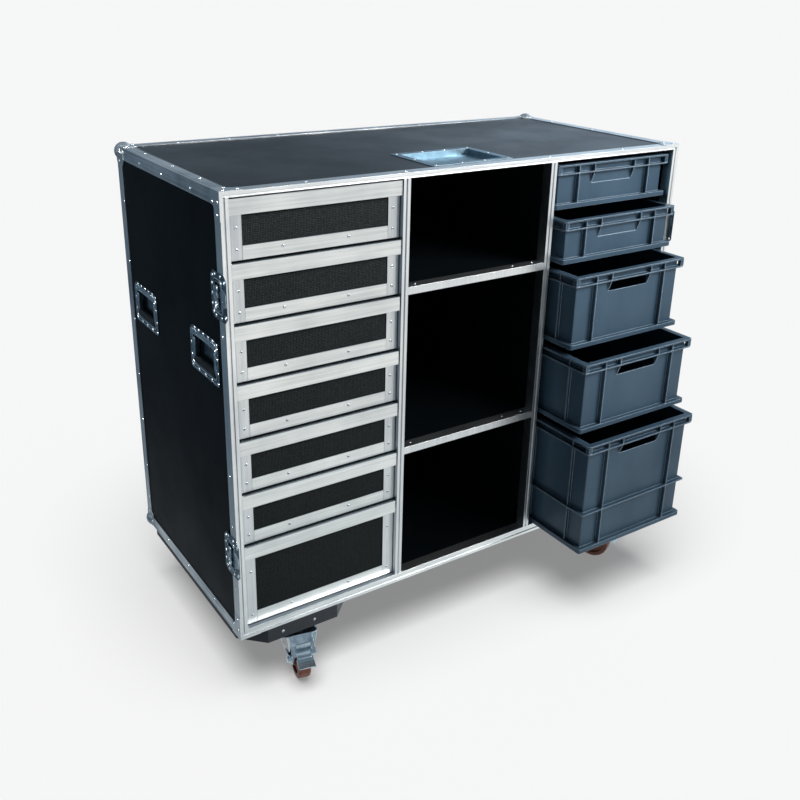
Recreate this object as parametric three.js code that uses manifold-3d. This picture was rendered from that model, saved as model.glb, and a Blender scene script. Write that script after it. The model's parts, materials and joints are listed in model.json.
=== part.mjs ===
// Road case with drawers, shelves and pull-out bins, standing on castors, with its front lid off.
// Millimetres, +Z up. The case frame inside the road_case group runs from the front left bottom
// corner of the case: x to the right, y to the back, z up. The exported group stands on the floor
// with its origin below the middle of the whole object.

import * as THREE from 'three';
import { mergeVertices } from 'three/addons/utils/BufferGeometryUtils.js';
import Module from 'manifold-3d';

const wasm = await Module();
wasm.setup();

// Case
const caseWidth = 1325;
const caseHeight = 1069;
const binWidth = 400;
const binLength = 600;
const binSetback = 7;
const binBackGap = 10.2;
const binLeftGap = 12.4;
const binRightGap = 4.4;
const fit = 0.3;
const overrun = 2;
const angleWall = 1.5;
const angleLeg = 30;
const sidePly = 15;
const topPly = 9;
const floorPly = 21;
const backPly = 9;
const dividerPly = 15;
const shelfPly = 15;
const lowerShelfHeight = 370;
const upperShelfHeight = 785;
const seat = angleWall + fit;
const postWidth = sidePly + 2 * seat;
const topThickness = topPly + 2 * seat;
const floorThickness = floorPly + 2 * seat;
const dividerWidth = dividerPly + 2 * seat;
const shelfThickness = shelfPly + 2 * seat;
const backFace = binSetback + binLength + binBackGap;
const caseDepth = backFace + backPly + seat;
const binBayWidth = binLeftGap + binWidth + binRightGap;
const bayWidth = (caseWidth - 2 * postWidth - 2 * dividerWidth - binBayWidth) / 2;
const leftPostX = postWidth + bayWidth;
const rightPostX = leftPostX + dividerWidth + bayWidth;

// Front rim of the case, a channel with a groove for the lid's tongue
const webWall = 5;
const grooveInset = 7;
const grooveWidth = 4;
const grooveDepth = 3;

// Corner braces at the front and ball corners at the back
const braceWall = 1.2;
const braceBand = 28;
const braceSideReach = 46;
const braceDrop = 60;
const braceTopReach = 51;
const braceFillet = 13;
const ballRadius = 23;
const ballProud = 10;
const ballLeaf = 46;
const ballLeafRound = 14;
const ballLeafWall = 1.2;

// Drawers
const smallDrawerCount = 6;
const smallFrontPitch = 134.8;
const frontGap = 4;
const frontTopGap = 3.4;
const frontFloorGap = 2;
const frontSideGap = 1.5;
const frontSetback = 15;
const frontPly = 9;
const trimWall = 1.5;
const trimStrip = 30;
const lipSetback = 3;
const lipHeight = 34;
const lipBack = 14;
const boxPly = 9;
const boxFloor = 6;
const boxBackGap = 33.2;
const boxLift = 10;
const boxShortfall = 26;
const slideThickness = 12.8;
const slideHeight = 35;
const slideWall = 2;
const slideClearance = 0.5;
const slideStart = 32;
const slideBackGap = 29.2;
const drawerTravel = 400;

// Bins
const binHeights = [111, 111, 192, 192, 323];
const binPullOuts = [0, 42, 98, 159, 199];
const binHasHandhole = [false, false, true, true, true];
const binHasWaistRib = [false, false, false, false, true];
const binHeadroom = 21.5;
const binLift = 4.4;
const binCorner = 8;
const binWall = 2.5;
const binWallInset = 14;
const binFloor = 3;
const binRimLip = 4;
const binBand = 25;
const binBandLip = 3;
const binBandInset = 1;
const binFootHeight = 12;
const binFootInset = 1.5;
const binRibWidth = 3;
const binRibInset = 2.2;
const binSideRibInset = 5.5;
const binPostSize = 13;
const binEndRibShares = [0.187, 0.813];
const binGripShares = [0.32, 0.68];
const binSideRibShares = [0.11, 0.36, 0.64, 0.89];
const binWaistShare = 0.36;
const gripHeight = 30;
const gripRecess = 1;
const binRailClearance = 0.8;
const binRailLeg = 25;
const binRailWall = 2;
const binRailBackGap = 20.2;

// Recessed side handles
const handleInset = 128;
const handleHeight = 684;
const handleWidth = 158;
const handleTall = 106;
const handleTopRound = 24;
const handleLowRound = 9;
const dishWall = 1.2;
const handlePanWidth = 126;
const handlePanTall = 70;
const handlePanDrop = 3;
const handlePanRound = 8;
const handlePanDepth = 13;
const panelCutMargin = 2;
const bailHingeHeight = 22;
const bailHingeDepth = 4;
const bailLength = 50;
const bailArmDepth = 8;
const bailArmWidth = 5;
const bailArmGap = 1;
const bailPinRadius = 2.6;
const bailPinReach = 1.5;
const bailGripRadius = 8;
const bailGripEndRadius = 6.5;
const bailGripEnd = 6;
const bailGripDepth = 2.5;

// Butterfly latches at the front edge of both sides
const latchEndDistance = 221;
const latchSetback = 29;
const latchFrontReach = 43;
const latchBackReach = 35;
const latchTall = 104;
const latchClip = 12;
const latchPanWidth = 40;
const latchPanTall = 72;
const latchPanRound = 8;
const latchPanDepth = 8;
const latchEyeRadius = 3;
const latchEyeShare = 0.72;
const latchEyeInset = 7;
const wingReach = 25;
const wingTip = 13;
const wingWaist = 7;
const wingWall = 2.5;
const wingProud = 0.6;
const wingHubRadius = 8.5;
const wingHubCap = 2.5;

// Shallow dish let into the top
const topDishWidth = 241;
const topDishDepth = 182;
const topDishFront = 41;
const topDishFlange = 18;
const topDishRecess = 14;
const topDishRound = 6;

// Castor boards and castors
const boardInset = 12;
const boardWidth = 308;
const boardLength = 602;
const boardThickness = 38;
const boardChamfer = 58;
const castorHeight = 134;
const wheelDiameter = 100;
const wheelWidth = 32;
const wheelEdge = 5;
const wheelEdgeShare = 0.3;
const wheelHubRadius = 17;
const wheelHubWidth = 36;
const wheelRimRadius = 37;
const wheelDish = 5;
const axleRadius = 6;
const axleClearance = 0.5;
const axleHeadRadius = 8;
const axleHead = 11;
const castorTrail = 43;
const swivelSetback = 48;
const swivelInset = 168;
const platePitchX = 105;
const platePitchY = 85;
const plateWall = 3;
const raceRadius = 29;
const raceHeight = 4;
const headRadius = 31;
const headHeight = 6;
const forkWall = 3;
const forkInside = 39;
const forkCrownBack = 27;
const forkCrownFront = 46;
const forkCrownDrop = 15;
const forkBoss = 15;
const forkNose = 80;
const forkNoseDrop = 50;
const shoulderHalfWidths = [47, 44, 35];
const shoulderDrops = [28, 64];
const crownRound = 14;
const hoodTopWidth = 56;
const hoodLipWidth = 63;
const hoodReach = 42;
const hoodDrop = 33;
const hoodWall = 2.5;
const hoodLip = 5;
const slotWidth = 38;
const slotStartShare = 0.52;
const slotEndShare = 0.95;
const pedalHingeAhead = 62;
const pedalHingeDrop = 32.5;
const pedalPinRadius = 2.5;
const pedalBarrelRadius = 3.5;
const pedalWidth = 36;
const pedalWall = 2.5;
const pedalArm = 27;
const pedalArmDrop = 21.5;
const pedalTabAhead = 14;
const pedalTabTall = 14.5;
const paddleWidth = 42;
const paddleReach = 27;
const paddleDrop = 7;
const frontHeadings = [-13, 24];
const rearHeadings = [-35, 15];

const arcSteps = 3;
const roundSteps = 20;
const ballSteps = 16;
const pinSteps = 10;
const standHeight = boardThickness + castorHeight;
const mergeTolerance = 1e-4;

const materials = {
  laminate: new THREE.MeshStandardMaterial({ color: 0x15181b, roughness: 0.55, metalness: 0 }),
  aluminium: new THREE.MeshStandardMaterial({ color: 0xc9ccce, roughness: 0.4, metalness: 0.9 }),
  zinc: new THREE.MeshStandardMaterial({ color: 0x9fb0ba, roughness: 0.3, metalness: 0.9 }),
  rubber: new THREE.MeshStandardMaterial({ color: 0x16181a, roughness: 0.7, metalness: 0 }),
  bin: new THREE.MeshStandardMaterial({ color: 0x52626f, roughness: 0.5, metalness: 0 }),
  board: new THREE.MeshStandardMaterial({ color: 0x22262a, roughness: 0.6, metalness: 0 }),
  wheel: new THREE.MeshStandardMaterial({ color: 0x7a3f2a, roughness: 0.5, metalness: 0 }),
};

// Solids

function toSolid(geometry) {
  const bare = geometry.clone();
  bare.deleteAttribute('normal');
  bare.deleteAttribute('uv');
  const merged = mergeVertices(bare, mergeTolerance);
  const points = merged.attributes.position;
  const corners = [];
  let volume = 0;
  const a = new THREE.Vector3();
  const b = new THREE.Vector3();
  const c = new THREE.Vector3();
  for (let i = 0; i < merged.index.count; i += 3) {
    const [ia, ib, ic] = [0, 1, 2].map((step) => merged.index.getX(i + step));
    if (ia === ib || ib === ic || ic === ia) continue;
    corners.push([ia, ib, ic]);
    a.fromBufferAttribute(points, ia);
    b.fromBufferAttribute(points, ib);
    c.fromBufferAttribute(points, ic);
    volume += a.dot(b.cross(c));
  }
  const outward = volume > 0 ? corners : corners.map(([ia, ib, ic]) => [ia, ic, ib]);
  const mesh = new wasm.Mesh({
    numProp: 3,
    vertProperties: new Float32Array(points.array),
    triVerts: new Uint32Array(outward.flat()),
  });
  return new wasm.Manifold(mesh);
}

function toGeometry(solid) {
  const mesh = solid.getMesh();
  const geometry = new THREE.BufferGeometry();
  geometry.setAttribute('position', new THREE.BufferAttribute(mesh.vertProperties, mesh.numProp));
  geometry.setIndex(new THREE.BufferAttribute(mesh.triVerts, 1));
  geometry.computeVertexNormals();
  return geometry;
}

function slab([x0, x1], [y0, y1], [z0, z1]) {
  const geometry = new THREE.BoxGeometry(x1 - x0, y1 - y0, z1 - z0);
  geometry.translate((x0 + x1) / 2, (y0 + y1) / 2, (z0 + z1) / 2);
  return toSolid(geometry);
}

function extrude(shape, length) {
  return new THREE.ExtrudeGeometry(shape, { depth: length, bevelEnabled: false, curveSegments: arcSteps });
}

// A shape drawn in (y, z), swept from x0 to x1.
function sweepX(shape, [x0, x1]) {
  const geometry = extrude(shape, x1 - x0);
  const turn = new THREE.Matrix4().makeBasis(
    new THREE.Vector3(0, 1, 0),
    new THREE.Vector3(0, 0, 1),
    new THREE.Vector3(1, 0, 0),
  );
  geometry.applyMatrix4(turn);
  geometry.translate(x0, 0, 0);
  return toSolid(geometry);
}

// A shape drawn in (x, z), swept from y0 to y1.
function sweepY(shape, [y0, y1]) {
  const geometry = extrude(shape, y1 - y0);
  geometry.rotateX(Math.PI / 2);
  geometry.translate(0, y1, 0);
  return toSolid(geometry);
}

// A shape drawn in (x, y), swept from z0 to z1.
function sweepZ(shape, [z0, z1]) {
  const geometry = extrude(shape, z1 - z0);
  geometry.translate(0, 0, z0);
  return toSolid(geometry);
}

function outline(points) {
  return new THREE.Shape(points.map(([u, v]) => new THREE.Vector2(u, v)));
}

function roundedOutline([u0, u1], [v0, v1], lowRound, highRound = lowRound) {
  const shape = new THREE.Shape();
  shape.moveTo(u0 + lowRound, v0);
  shape.lineTo(u1 - lowRound, v0);
  shape.absarc(u1 - lowRound, v0 + lowRound, lowRound, -Math.PI / 2, 0, false);
  shape.lineTo(u1, v1 - highRound);
  shape.absarc(u1 - highRound, v1 - highRound, highRound, 0, Math.PI / 2, false);
  shape.lineTo(u0 + highRound, v1);
  shape.absarc(u0 + highRound, v1 - highRound, highRound, Math.PI / 2, Math.PI, false);
  shape.lineTo(u0, v0 + lowRound);
  shape.absarc(u0 + lowRound, v0 + lowRound, lowRound, Math.PI, Math.PI * 1.5, false);
  return shape;
}

function disc(u, v, radius) {
  const shape = new THREE.Shape();
  shape.absarc(u, v, radius, 0, Math.PI * 2, false);
  return shape;
}

// A profile of (radius, height) points turned about the z axis.
function turned(profile, steps = roundSteps) {
  const points = profile.map(([radius, height]) => new THREE.Vector2(radius, height));
  const geometry = new THREE.LatheGeometry(points, steps);
  geometry.rotateX(Math.PI / 2);
  return geometry;
}

function turnedAboutX(profile, steps = roundSteps) {
  return toSolid(turned(profile, steps).rotateY(Math.PI / 2));
}

function turnedAboutY(profile, steps, [x, y, z]) {
  return toSolid(turned(profile, steps).rotateX(-Math.PI / 2).translate(x, y, z));
}

function rod(radius, [start, end]) {
  return [[0, start], [radius, start], [radius, end], [0, end]];
}

function join(first, ...others) {
  return others.reduce((whole, other) => whole.add(other), first);
}

function overlap(first, second) {
  return first.intersect(second);
}

function cut(first, ...others) {
  return others.reduce((whole, other) => whole.subtract(other), first);
}

function addPiece(parent, name, solid, material, position = [0, 0, 0]) {
  const mesh = new THREE.Mesh(toGeometry(solid), material);
  mesh.name = name;
  mesh.position.set(...position);
  parent.add(mesh);
  return mesh;
}

function addGroup(parent, position, mirrored = false, heading = 0) {
  const group = new THREE.Group();
  group.position.set(...position);
  group.scale.x = mirrored ? -1 : 1;
  group.rotation.z = THREE.MathUtils.degToRad(heading);
  parent.add(group);
  return group;
}

const opening = {
  x: [postWidth, caseWidth - postWidth],
  z: [floorThickness, caseHeight - topThickness],
};
const wallSpanZ = [seat + floorPly + fit, caseHeight - seat - topPly - fit];
const latchHeights = { lower: latchEndDistance, upper: caseHeight - latchEndDistance };
const handleSetbacks = { front: handleInset, rear: caseDepth - handleInset };

// Drawer and bin places

const frontWidth = bayWidth - 2 * frontSideGap;
const smallFrontHeight = smallFrontPitch - frontGap;
const drawers = [];
for (let i = 0; i <= smallDrawerCount; i += 1) {
  const top = opening.z[1] - frontTopGap - i * smallFrontPitch;
  const isDeep = i === smallDrawerCount;
  const low = isDeep ? opening.z[0] + frontFloorGap : top - smallFrontHeight;
  const frontHeight = top - low;
  const boxHeight = frontHeight - boxShortfall;
  drawers.push({ name: `drawer_${i + 1}`, low, frontHeight, boxHeight, slide: low + boxLift + boxHeight / 2 });
}

const bins = [];
let binLow = opening.z[0] + binLift;
for (let i = binHeights.length - 1; i >= 0; i -= 1) {
  bins.unshift({ name: `bin_${i + 1}`, low: binLow, height: binHeights[i] });
  binLow += binHeights[i] + binHeadroom;
}

// Plywood carcass

function drawerSlide(wallX, height, direction) {
  const along = [slideStart, backFace - slideBackGap];
  const reach = direction * (slideThickness - slideClearance);
  const sides = (from, to) => (direction > 0 ? [from, to] : [to, from]);
  const whole = slab(
    sides(wallX - direction * slideWall, wallX + reach),
    along,
    [height - slideHeight / 2, height + slideHeight / 2],
  );
  const hollow = slab(
    sides(wallX + direction * slideWall, wallX + reach + direction * overrun),
    [along[0] - overrun, along[1] + overrun],
    [height - slideHeight / 2 + slideWall, height + slideHeight / 2 - slideWall],
  );
  return cut(whole, hollow);
}

// An angle screwed to the wall, whose ledge carries a bin under its rim band and stops short of the ribs.
function binRail(wallX, gap, bin) {
  const ledgeTop = bin.low + bin.height - binBand - fit;
  const ledgeEnd = wallX + seat + gap + binSideRibInset - binRailClearance;
  const along = [slideStart, backFace - binRailBackGap];
  const ledge = slab([wallX - binRailWall, ledgeEnd], along, [ledgeTop - binRailWall, ledgeTop]);
  const leg = slab(
    [wallX - binRailWall, wallX + binRailWall],
    along,
    [ledgeTop - binRailWall, ledgeTop + binRailLeg],
  );
  return join(ledge, leg);
}

function handleOpening(setback) {
  const half = handlePanWidth / 2 + panelCutMargin;
  const low = handleHeight - handlePanDrop - handlePanTall / 2 - panelCutMargin;
  const high = handleHeight - handlePanDrop + handlePanTall / 2 + panelCutMargin;
  return slab([seat - overrun, seat + sidePly], [setback - half, setback + half], [low, high]);
}

function latchPocket(height, depth) {
  const half = latchPanWidth / 2 + panelCutMargin;
  const tall = latchPanTall / 2 + panelCutMargin;
  return slab(
    [-overrun, depth],
    [latchSetback - half, latchSetback + half],
    [height - tall, height + tall],
  );
}

function sidePanel(rails) {
  const board = slab([seat, seat + sidePly], [webWall + fit, caseDepth - seat], wallSpanZ);
  const openings = Object.values(handleSetbacks).map(handleOpening);
  const pocketDepth = latchPanDepth + panelCutMargin;
  const pockets = Object.values(latchHeights).map((height) => latchPocket(height, pocketDepth));
  return join(cut(board, ...openings, ...pockets), ...rails);
}

function makeCarcass(parent) {
  const topZ = caseHeight - seat - topPly;
  const top = slab([seat, caseWidth - seat], [webWall + fit, caseDepth - seat], [topZ, topZ + topPly]);
  const dishHalf = topDishWidth / 2 - topDishFlange + panelCutMargin;
  const dishCut = slab(
    [caseWidth / 2 - dishHalf, caseWidth / 2 + dishHalf],
    [
      topDishFront + topDishFlange - panelCutMargin,
      topDishFront + topDishDepth - topDishFlange + panelCutMargin,
    ],
    [topZ - overrun, caseHeight],
  );
  addPiece(parent, 'top_panel', cut(top, dishCut), materials.laminate);

  const floor = slab([seat, caseWidth - seat], [webWall + fit, caseDepth - seat], [seat, seat + floorPly]);
  addPiece(parent, 'bottom_panel', floor, materials.laminate);

  const innerFace = seat + sidePly;
  const drawerRails = drawers.map((drawer) => drawerSlide(innerFace, drawer.slide, 1));
  addPiece(parent, 'left_side_panel', sidePanel(drawerRails), materials.laminate);
  const sideBinRails = bins.map((bin) => binRail(innerFace, binRightGap, bin));
  const rightSide = addGroup(parent, [caseWidth, 0, 0], true);
  addPiece(rightSide, 'right_side_panel', sidePanel(sideBinRails), materials.laminate);

  const back = slab(
    [innerFace + fit, caseWidth - innerFace - fit],
    [backFace, backFace + backPly],
    wallSpanZ,
  );
  addPiece(parent, 'back_panel', back, materials.laminate);

  const dividerDepth = [webWall + fit, backFace - fit];
  const flangeDepth = [0, angleLeg + fit];
  const flangeNotches = [
    slab([0, caseWidth], flangeDepth, [0, opening.z[0] + fit]),
    slab([0, caseWidth], flangeDepth, [opening.z[1] - fit, caseHeight]),
  ];
  const leftDividerX = leftPostX + seat;
  const leftBoard = cut(
    slab([leftDividerX, leftDividerX + dividerPly], dividerDepth, wallSpanZ),
    ...flangeNotches,
  );
  const leftRails = drawers.map((drawer) => drawerSlide(leftDividerX, drawer.slide, -1));
  addPiece(parent, 'left_divider', join(leftBoard, ...leftRails), materials.laminate);
  const rightDividerX = rightPostX + seat;
  const rightBoard = cut(
    slab([rightDividerX, rightDividerX + dividerPly], dividerDepth, wallSpanZ),
    ...flangeNotches,
  );
  const rightRails = bins.map((bin) => binRail(rightDividerX + dividerPly, binLeftGap, bin));
  addPiece(parent, 'right_divider', join(rightBoard, ...rightRails), materials.laminate);

  const shelfX = [leftDividerX + dividerPly + fit, rightDividerX - fit];
  const shelf = slab([0, shelfX[1] - shelfX[0]], dividerDepth, [0, shelfPly]);
  addPiece(parent, 'lower_shelf', shelf, materials.laminate, [shelfX[0], 0, lowerShelfHeight + seat]);
  addPiece(parent, 'upper_shelf', shelf, materials.laminate, [shelfX[0], 0, upperShelfHeight + seat]);
}

// Aluminium edging

function braceOutline(reachU, reachV) {
  const shape = new THREE.Shape();
  const bend = braceBand + braceFillet;
  shape.moveTo(0, 0);
  shape.lineTo(reachU, 0);
  shape.lineTo(reachU, braceBand);
  shape.lineTo(bend, braceBand);
  shape.absarc(bend, bend, braceFillet, -Math.PI / 2, Math.PI, true);
  shape.lineTo(braceBand, reachV);
  shape.lineTo(0, reachV);
  return shape;
}

// One front corner brace, drawn for the left bottom corner and mirrored into the others.
function cornerBrace(isRight, isTop) {
  const onSide = extrude(braceOutline(braceSideReach, braceDrop), braceWall + angleWall / 2);
  onSide.applyMatrix4(new THREE.Matrix4().makeBasis(
    new THREE.Vector3(0, 1, 0),
    new THREE.Vector3(0, 0, 1),
    new THREE.Vector3(1, 0, 0),
  ));
  onSide.translate(-braceWall, 0, 0);
  const onEnd = extrude(braceOutline(braceTopReach, braceSideReach), braceWall + angleWall / 2);
  onEnd.translate(0, 0, -braceWall);
  const edge = new THREE.BoxGeometry(braceWall, braceSideReach, braceWall);
  edge.translate(-braceWall / 2, braceSideReach / 2, -braceWall / 2);
  return [onSide, onEnd, edge].map((geometry) => {
    geometry.scale(isRight ? -1 : 1, 1, isTop ? -1 : 1);
    geometry.translate(isRight ? caseWidth : 0, 0, isTop ? caseHeight : 0);
    return toSolid(geometry);
  });
}

function makeFrontFrame(parent) {
  const [left, right] = opening.x;
  const [low, high] = opening.z;
  const past = [-overrun, angleLeg + overrun];
  const ring = cut(
    slab([0, caseWidth], [0, angleLeg], [0, caseHeight]),
    slab([left, right], past, [low, high]),
  );
  const channel = cut(
    slab(
      [angleWall, caseWidth - angleWall],
      [webWall, angleLeg + overrun],
      [angleWall, caseHeight - angleWall],
    ),
    slab([left - angleWall, right + angleWall], past, [low - angleWall, high + angleWall]),
  );
  const grooveEnd = grooveInset + grooveWidth;
  const groove = cut(
    slab(
      [grooveInset, caseWidth - grooveInset],
      [-overrun, grooveDepth],
      [grooveInset, caseHeight - grooveInset],
    ),
    slab([grooveEnd, caseWidth - grooveEnd], past, [grooveEnd, caseHeight - grooveEnd]),
  );
  const notches = Object.values(latchHeights).flatMap((height) => {
    const half = latchPanTall / 2 + panelCutMargin;
    const along = [latchSetback - latchPanWidth / 2 - panelCutMargin, angleLeg + overrun];
    const tall = [height - half, height + half];
    return [
      slab([-overrun, angleWall + fit], along, tall),
      slab([caseWidth - angleWall - fit, caseWidth + overrun], along, tall),
    ];
  });
  const braces = [false, true].flatMap((isRight) => (
    [false, true].flatMap((isTop) => cornerBrace(isRight, isTop))
  ));
  const clear = slab([-fit, caseWidth + fit], [angleLeg, caseDepth], [-fit, caseHeight + fit]);
  const frame = join(cut(ring, channel, groove, ...notches), ...braces.map((brace) => cut(brace, clear)));
  addPiece(parent, 'front_frame', frame, materials.aluminium);
}

function makeBayFrame(parent) {
  const tall = [opening.z[0] + fit, opening.z[1] - fit];
  const along = [0, angleLeg];
  const core = [webWall, angleLeg + overrun];
  const posts = [leftPostX, rightPostX].map((x) => slab([x, x + dividerWidth], along, tall));
  const postCores = [leftPostX, rightPostX].map((x) => slab(
    [x + angleWall, x + dividerWidth - angleWall],
    core,
    [tall[0] - overrun, tall[1] + overrun],
  ));
  const postGrooves = [leftPostX, rightPostX].map((x) => slab(
    [x + grooveInset, x + grooveInset + grooveWidth],
    [-overrun, grooveDepth],
    [tall[0] - overrun, tall[1] + overrun],
  ));
  const shelfSpan = [leftPostX + dividerWidth - angleWall, rightPostX + angleWall];
  const heights = [lowerShelfHeight, upperShelfHeight];
  const caps = heights.map((z) => slab(shelfSpan, along, [z, z + shelfThickness]));
  const capCores = heights.map((z) => slab(
    [shelfSpan[0] - overrun, shelfSpan[1] + overrun],
    core,
    [z + angleWall, z + shelfThickness - angleWall],
  ));
  const frame = cut(join(...posts, ...caps), ...postCores, ...capCores, ...postGrooves);
  addPiece(parent, 'bay_frame', frame, materials.aluminium);
}

// One ball corner, drawn for the left back bottom corner and mirrored into the others.
function ballCorner(isRight, isTop) {
  const inset = ballRadius - ballProud;
  const ball = new THREE.SphereGeometry(ballRadius, ballSteps, ballSteps / 2);
  ball.rotateX(Math.PI / 2);
  ball.translate(inset, -inset, inset);
  const leafPlan = roundedOutline([0, ballLeaf], [0, ballLeaf], ballLeafRound);
  const leaf = () => extrude(leafPlan, ballLeafWall + angleWall / 2);
  const low = leaf().scale(1, -1, 1).translate(0, 0, -ballLeafWall);
  const side = leaf().rotateY(-Math.PI / 2).scale(1, -1, 1).translate(angleWall / 2, 0, 0);
  const back = leaf().rotateX(Math.PI / 2).translate(0, ballLeafWall, 0);
  return [ball, low, side, back].map((geometry) => {
    geometry.translate(0, caseDepth, 0);
    geometry.scale(isRight ? -1 : 1, 1, isTop ? -1 : 1);
    geometry.translate(isRight ? caseWidth : 0, 0, isTop ? caseHeight : 0);
    return toSolid(geometry);
  });
}

function makeEdgeFrame(parent) {
  const front = angleLeg + fit;
  const whole = slab([0, caseWidth], [front, caseDepth], [0, caseHeight]);
  const inside = slab(
    [angleWall, caseWidth - angleWall],
    [0, caseDepth - angleWall],
    [angleWall, caseHeight - angleWall],
  );
  const midX = [angleLeg, caseWidth - angleLeg];
  const midY = [0, caseDepth - angleLeg];
  const midZ = [angleLeg, caseHeight - angleLeg];
  const pastX = [-overrun, caseWidth + overrun];
  const pastY = [0, caseDepth + overrun];
  const pastZ = [-overrun, caseHeight + overrun];
  const cage = cut(
    whole,
    inside,
    slab(midX, midY, pastZ),
    slab(pastX, midY, midZ),
    slab(midX, pastY, midZ),
  );
  const corners = [false, true].flatMap((isRight) => (
    [false, true].flatMap((isTop) => ballCorner(isRight, isTop))
  ));
  const hollow = angleWall / 2;
  const ballHollow = slab(
    [hollow, caseWidth - hollow],
    [0, caseDepth - hollow],
    [hollow, caseHeight - hollow],
  );
  const frame = join(cage, ...corners.map((corner) => cut(corner, ballHollow)));
  addPiece(parent, 'edge_frame', frame, materials.aluminium);
}

// Drawers

function drawerBox(drawer) {
  const board = slab([0, frontWidth], [0, frontPly], [0, drawer.frontHeight]);
  const boxInset = (frontWidth - (bayWidth + 2 * seat - 2 * slideThickness)) / 2;
  const boxX = [boxInset, frontWidth - boxInset];
  const boxZ = [boxLift, boxLift + drawer.boxHeight];
  const boxEnd = backFace - boxBackGap - frontSetback;
  const body = slab(boxX, [frontPly - fit, boxEnd], boxZ);
  const hollow = slab(
    [boxX[0] + boxPly, boxX[1] - boxPly],
    [frontPly + boxPly, boxEnd - boxPly],
    [boxLift + boxFloor, boxZ[1] + overrun],
  );
  const mid = boxLift + drawer.boxHeight / 2;
  const tongueReach = slideThickness - slideWall - slideClearance;
  const tongueHalf = slideHeight / 2 - slideWall - slideClearance;
  const tongueY = [slideStart - frontSetback, boxEnd];
  const tongues = [
    slab([boxX[0] - tongueReach, boxX[0] + boxPly / 2], tongueY, [mid - tongueHalf, mid + tongueHalf]),
    slab([boxX[1] - boxPly / 2, boxX[1] + tongueReach], tongueY, [mid - tongueHalf, mid + tongueHalf]),
  ];
  return join(board, cut(body, hollow), ...tongues);
}

function drawerTrim(drawer) {
  const high = drawer.frontHeight;
  const face = [-fit - trimWall, -fit];
  const sheet = slab([0, frontWidth], face, [0, high]);
  const window = slab(
    [trimStrip, frontWidth - trimStrip],
    [-fit - trimWall - overrun, 0],
    [trimStrip, high - lipBack],
  );
  const lipFront = lipSetback - frontSetback;
  const lip = outline([
    [-fit, high],
    [lipFront, high],
    [lipFront, high - lipHeight],
    [lipFront + trimWall, high - lipHeight],
    [lipFront + trimWall, high - trimWall],
    [-fit, high - trimWall],
  ]);
  return join(cut(sheet, window), sweepX(lip, [0, frontWidth]));
}

function makeDrawers(parent) {
  const x = postWidth + frontSideGap;
  for (const drawer of drawers) {
    const group = addGroup(parent, [x, frontSetback, drawer.low]);
    addPiece(group, `${drawer.name}_box`, drawerBox(drawer), materials.laminate);
    addPiece(group, `${drawer.name}_trim`, drawerTrim(drawer), materials.aluminium);
  }
}

// Bins

function binRing(inset, [z0, z1]) {
  const round = Math.max(binCorner - inset, binWall);
  return sweepZ(roundedOutline([inset, binWidth - inset], [inset, binLength - inset], round), [z0, z1]);
}

// Gussets run from the rim band down into both end walls. Between them the wall is recessed or open.
function binGrips(bin, hasHandhole) {
  const bandLow = bin.height - binBand;
  const gripLow = bandLow - gripHeight;
  const gussetTop = bandLow + binBandLip / 2;
  const half = binRibWidth / 2;
  const [start, end] = binGripShares.map((share) => share * binWidth);
  const gusset = outline([
    [binRibInset, gussetTop],
    [binWallInset, gripLow],
    [binLength - binWallInset, gripLow],
    [binLength - binRibInset, gussetTop],
  ]);
  const gussets = [start, end].map((x) => sweepX(gusset, [x - half, x + half]));
  const depth = binWallInset + (hasHandhole ? binWall + overrun : gripRecess);
  const openings = [[-overrun, depth], [binLength - depth, binLength + overrun]].map((along) => (
    slab([start + half, end - half], along, [gripLow, bandLow])
  ));
  return { gussets, openings };
}

function makeBin(bin, hasHandhole, hasWaist) {
  const innerInset = binWallInset + binWall;
  const ribBase = binFootHeight / 2;
  const ribTop = bin.height - binRimLip / 2;
  const body = binRing(binWallInset, [ribBase, ribTop]);
  const hollow = binRing(innerInset, [binFloor, bin.height + overrun]);
  const bandLow = bin.height - binBand;
  const rings = [
    binRing(0, [bin.height - binRimLip, bin.height]),
    binRing(binBandInset, [bandLow, bandLow + binBandLip]),
    binRing(binFootInset, [0, binFootHeight]),
  ];
  if (hasWaist) {
    const waist = binWaistShare * bin.height;
    rings.push(binRing(binFootInset, [waist, waist + binBandLip]));
  }
  const ribs = [];
  for (const share of binEndRibShares) {
    const x = [share * binWidth - binRibWidth / 2, share * binWidth + binRibWidth / 2];
    ribs.push(slab(x, [binRibInset, binLength - binRibInset], [ribBase, ribTop]));
  }
  for (const share of binGripShares) {
    const x = [share * binWidth - binRibWidth / 2, share * binWidth + binRibWidth / 2];
    ribs.push(slab(x, [binRibInset, binLength - binRibInset], [bandLow + binBandLip / 2, ribTop]));
  }
  for (const share of binSideRibShares) {
    const y = [share * binLength - binRibWidth / 2, share * binLength + binRibWidth / 2];
    ribs.push(slab([binSideRibInset, binWidth - binSideRibInset], y, [ribBase, ribTop]));
  }
  const postEnds = (size) => [[binRibInset, binPostSize], [size - binPostSize, size - binRibInset]];
  for (const x of postEnds(binWidth)) {
    for (const y of postEnds(binLength)) {
      ribs.push(slab(x, y, [bandLow + binBandLip / 2, ribTop]));
    }
  }
  const { gussets, openings } = binGrips(bin, hasHandhole);
  return cut(join(body, ...rings, ...ribs, ...gussets), hollow, ...openings);
}

function makeBins(parent) {
  const x = caseWidth - postWidth - binRightGap - binWidth;
  bins.forEach((bin, i) => {
    const solid = makeBin(bin, binHasHandhole[i], binHasWaistRib[i]);
    addPiece(parent, bin.name, solid, materials.bin, [x, binSetback - binPullOuts[i], bin.low]);
  });
}

// Recessed handles. The local frame has x into the case, y to the back and z up, from the plate's middle.

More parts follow.
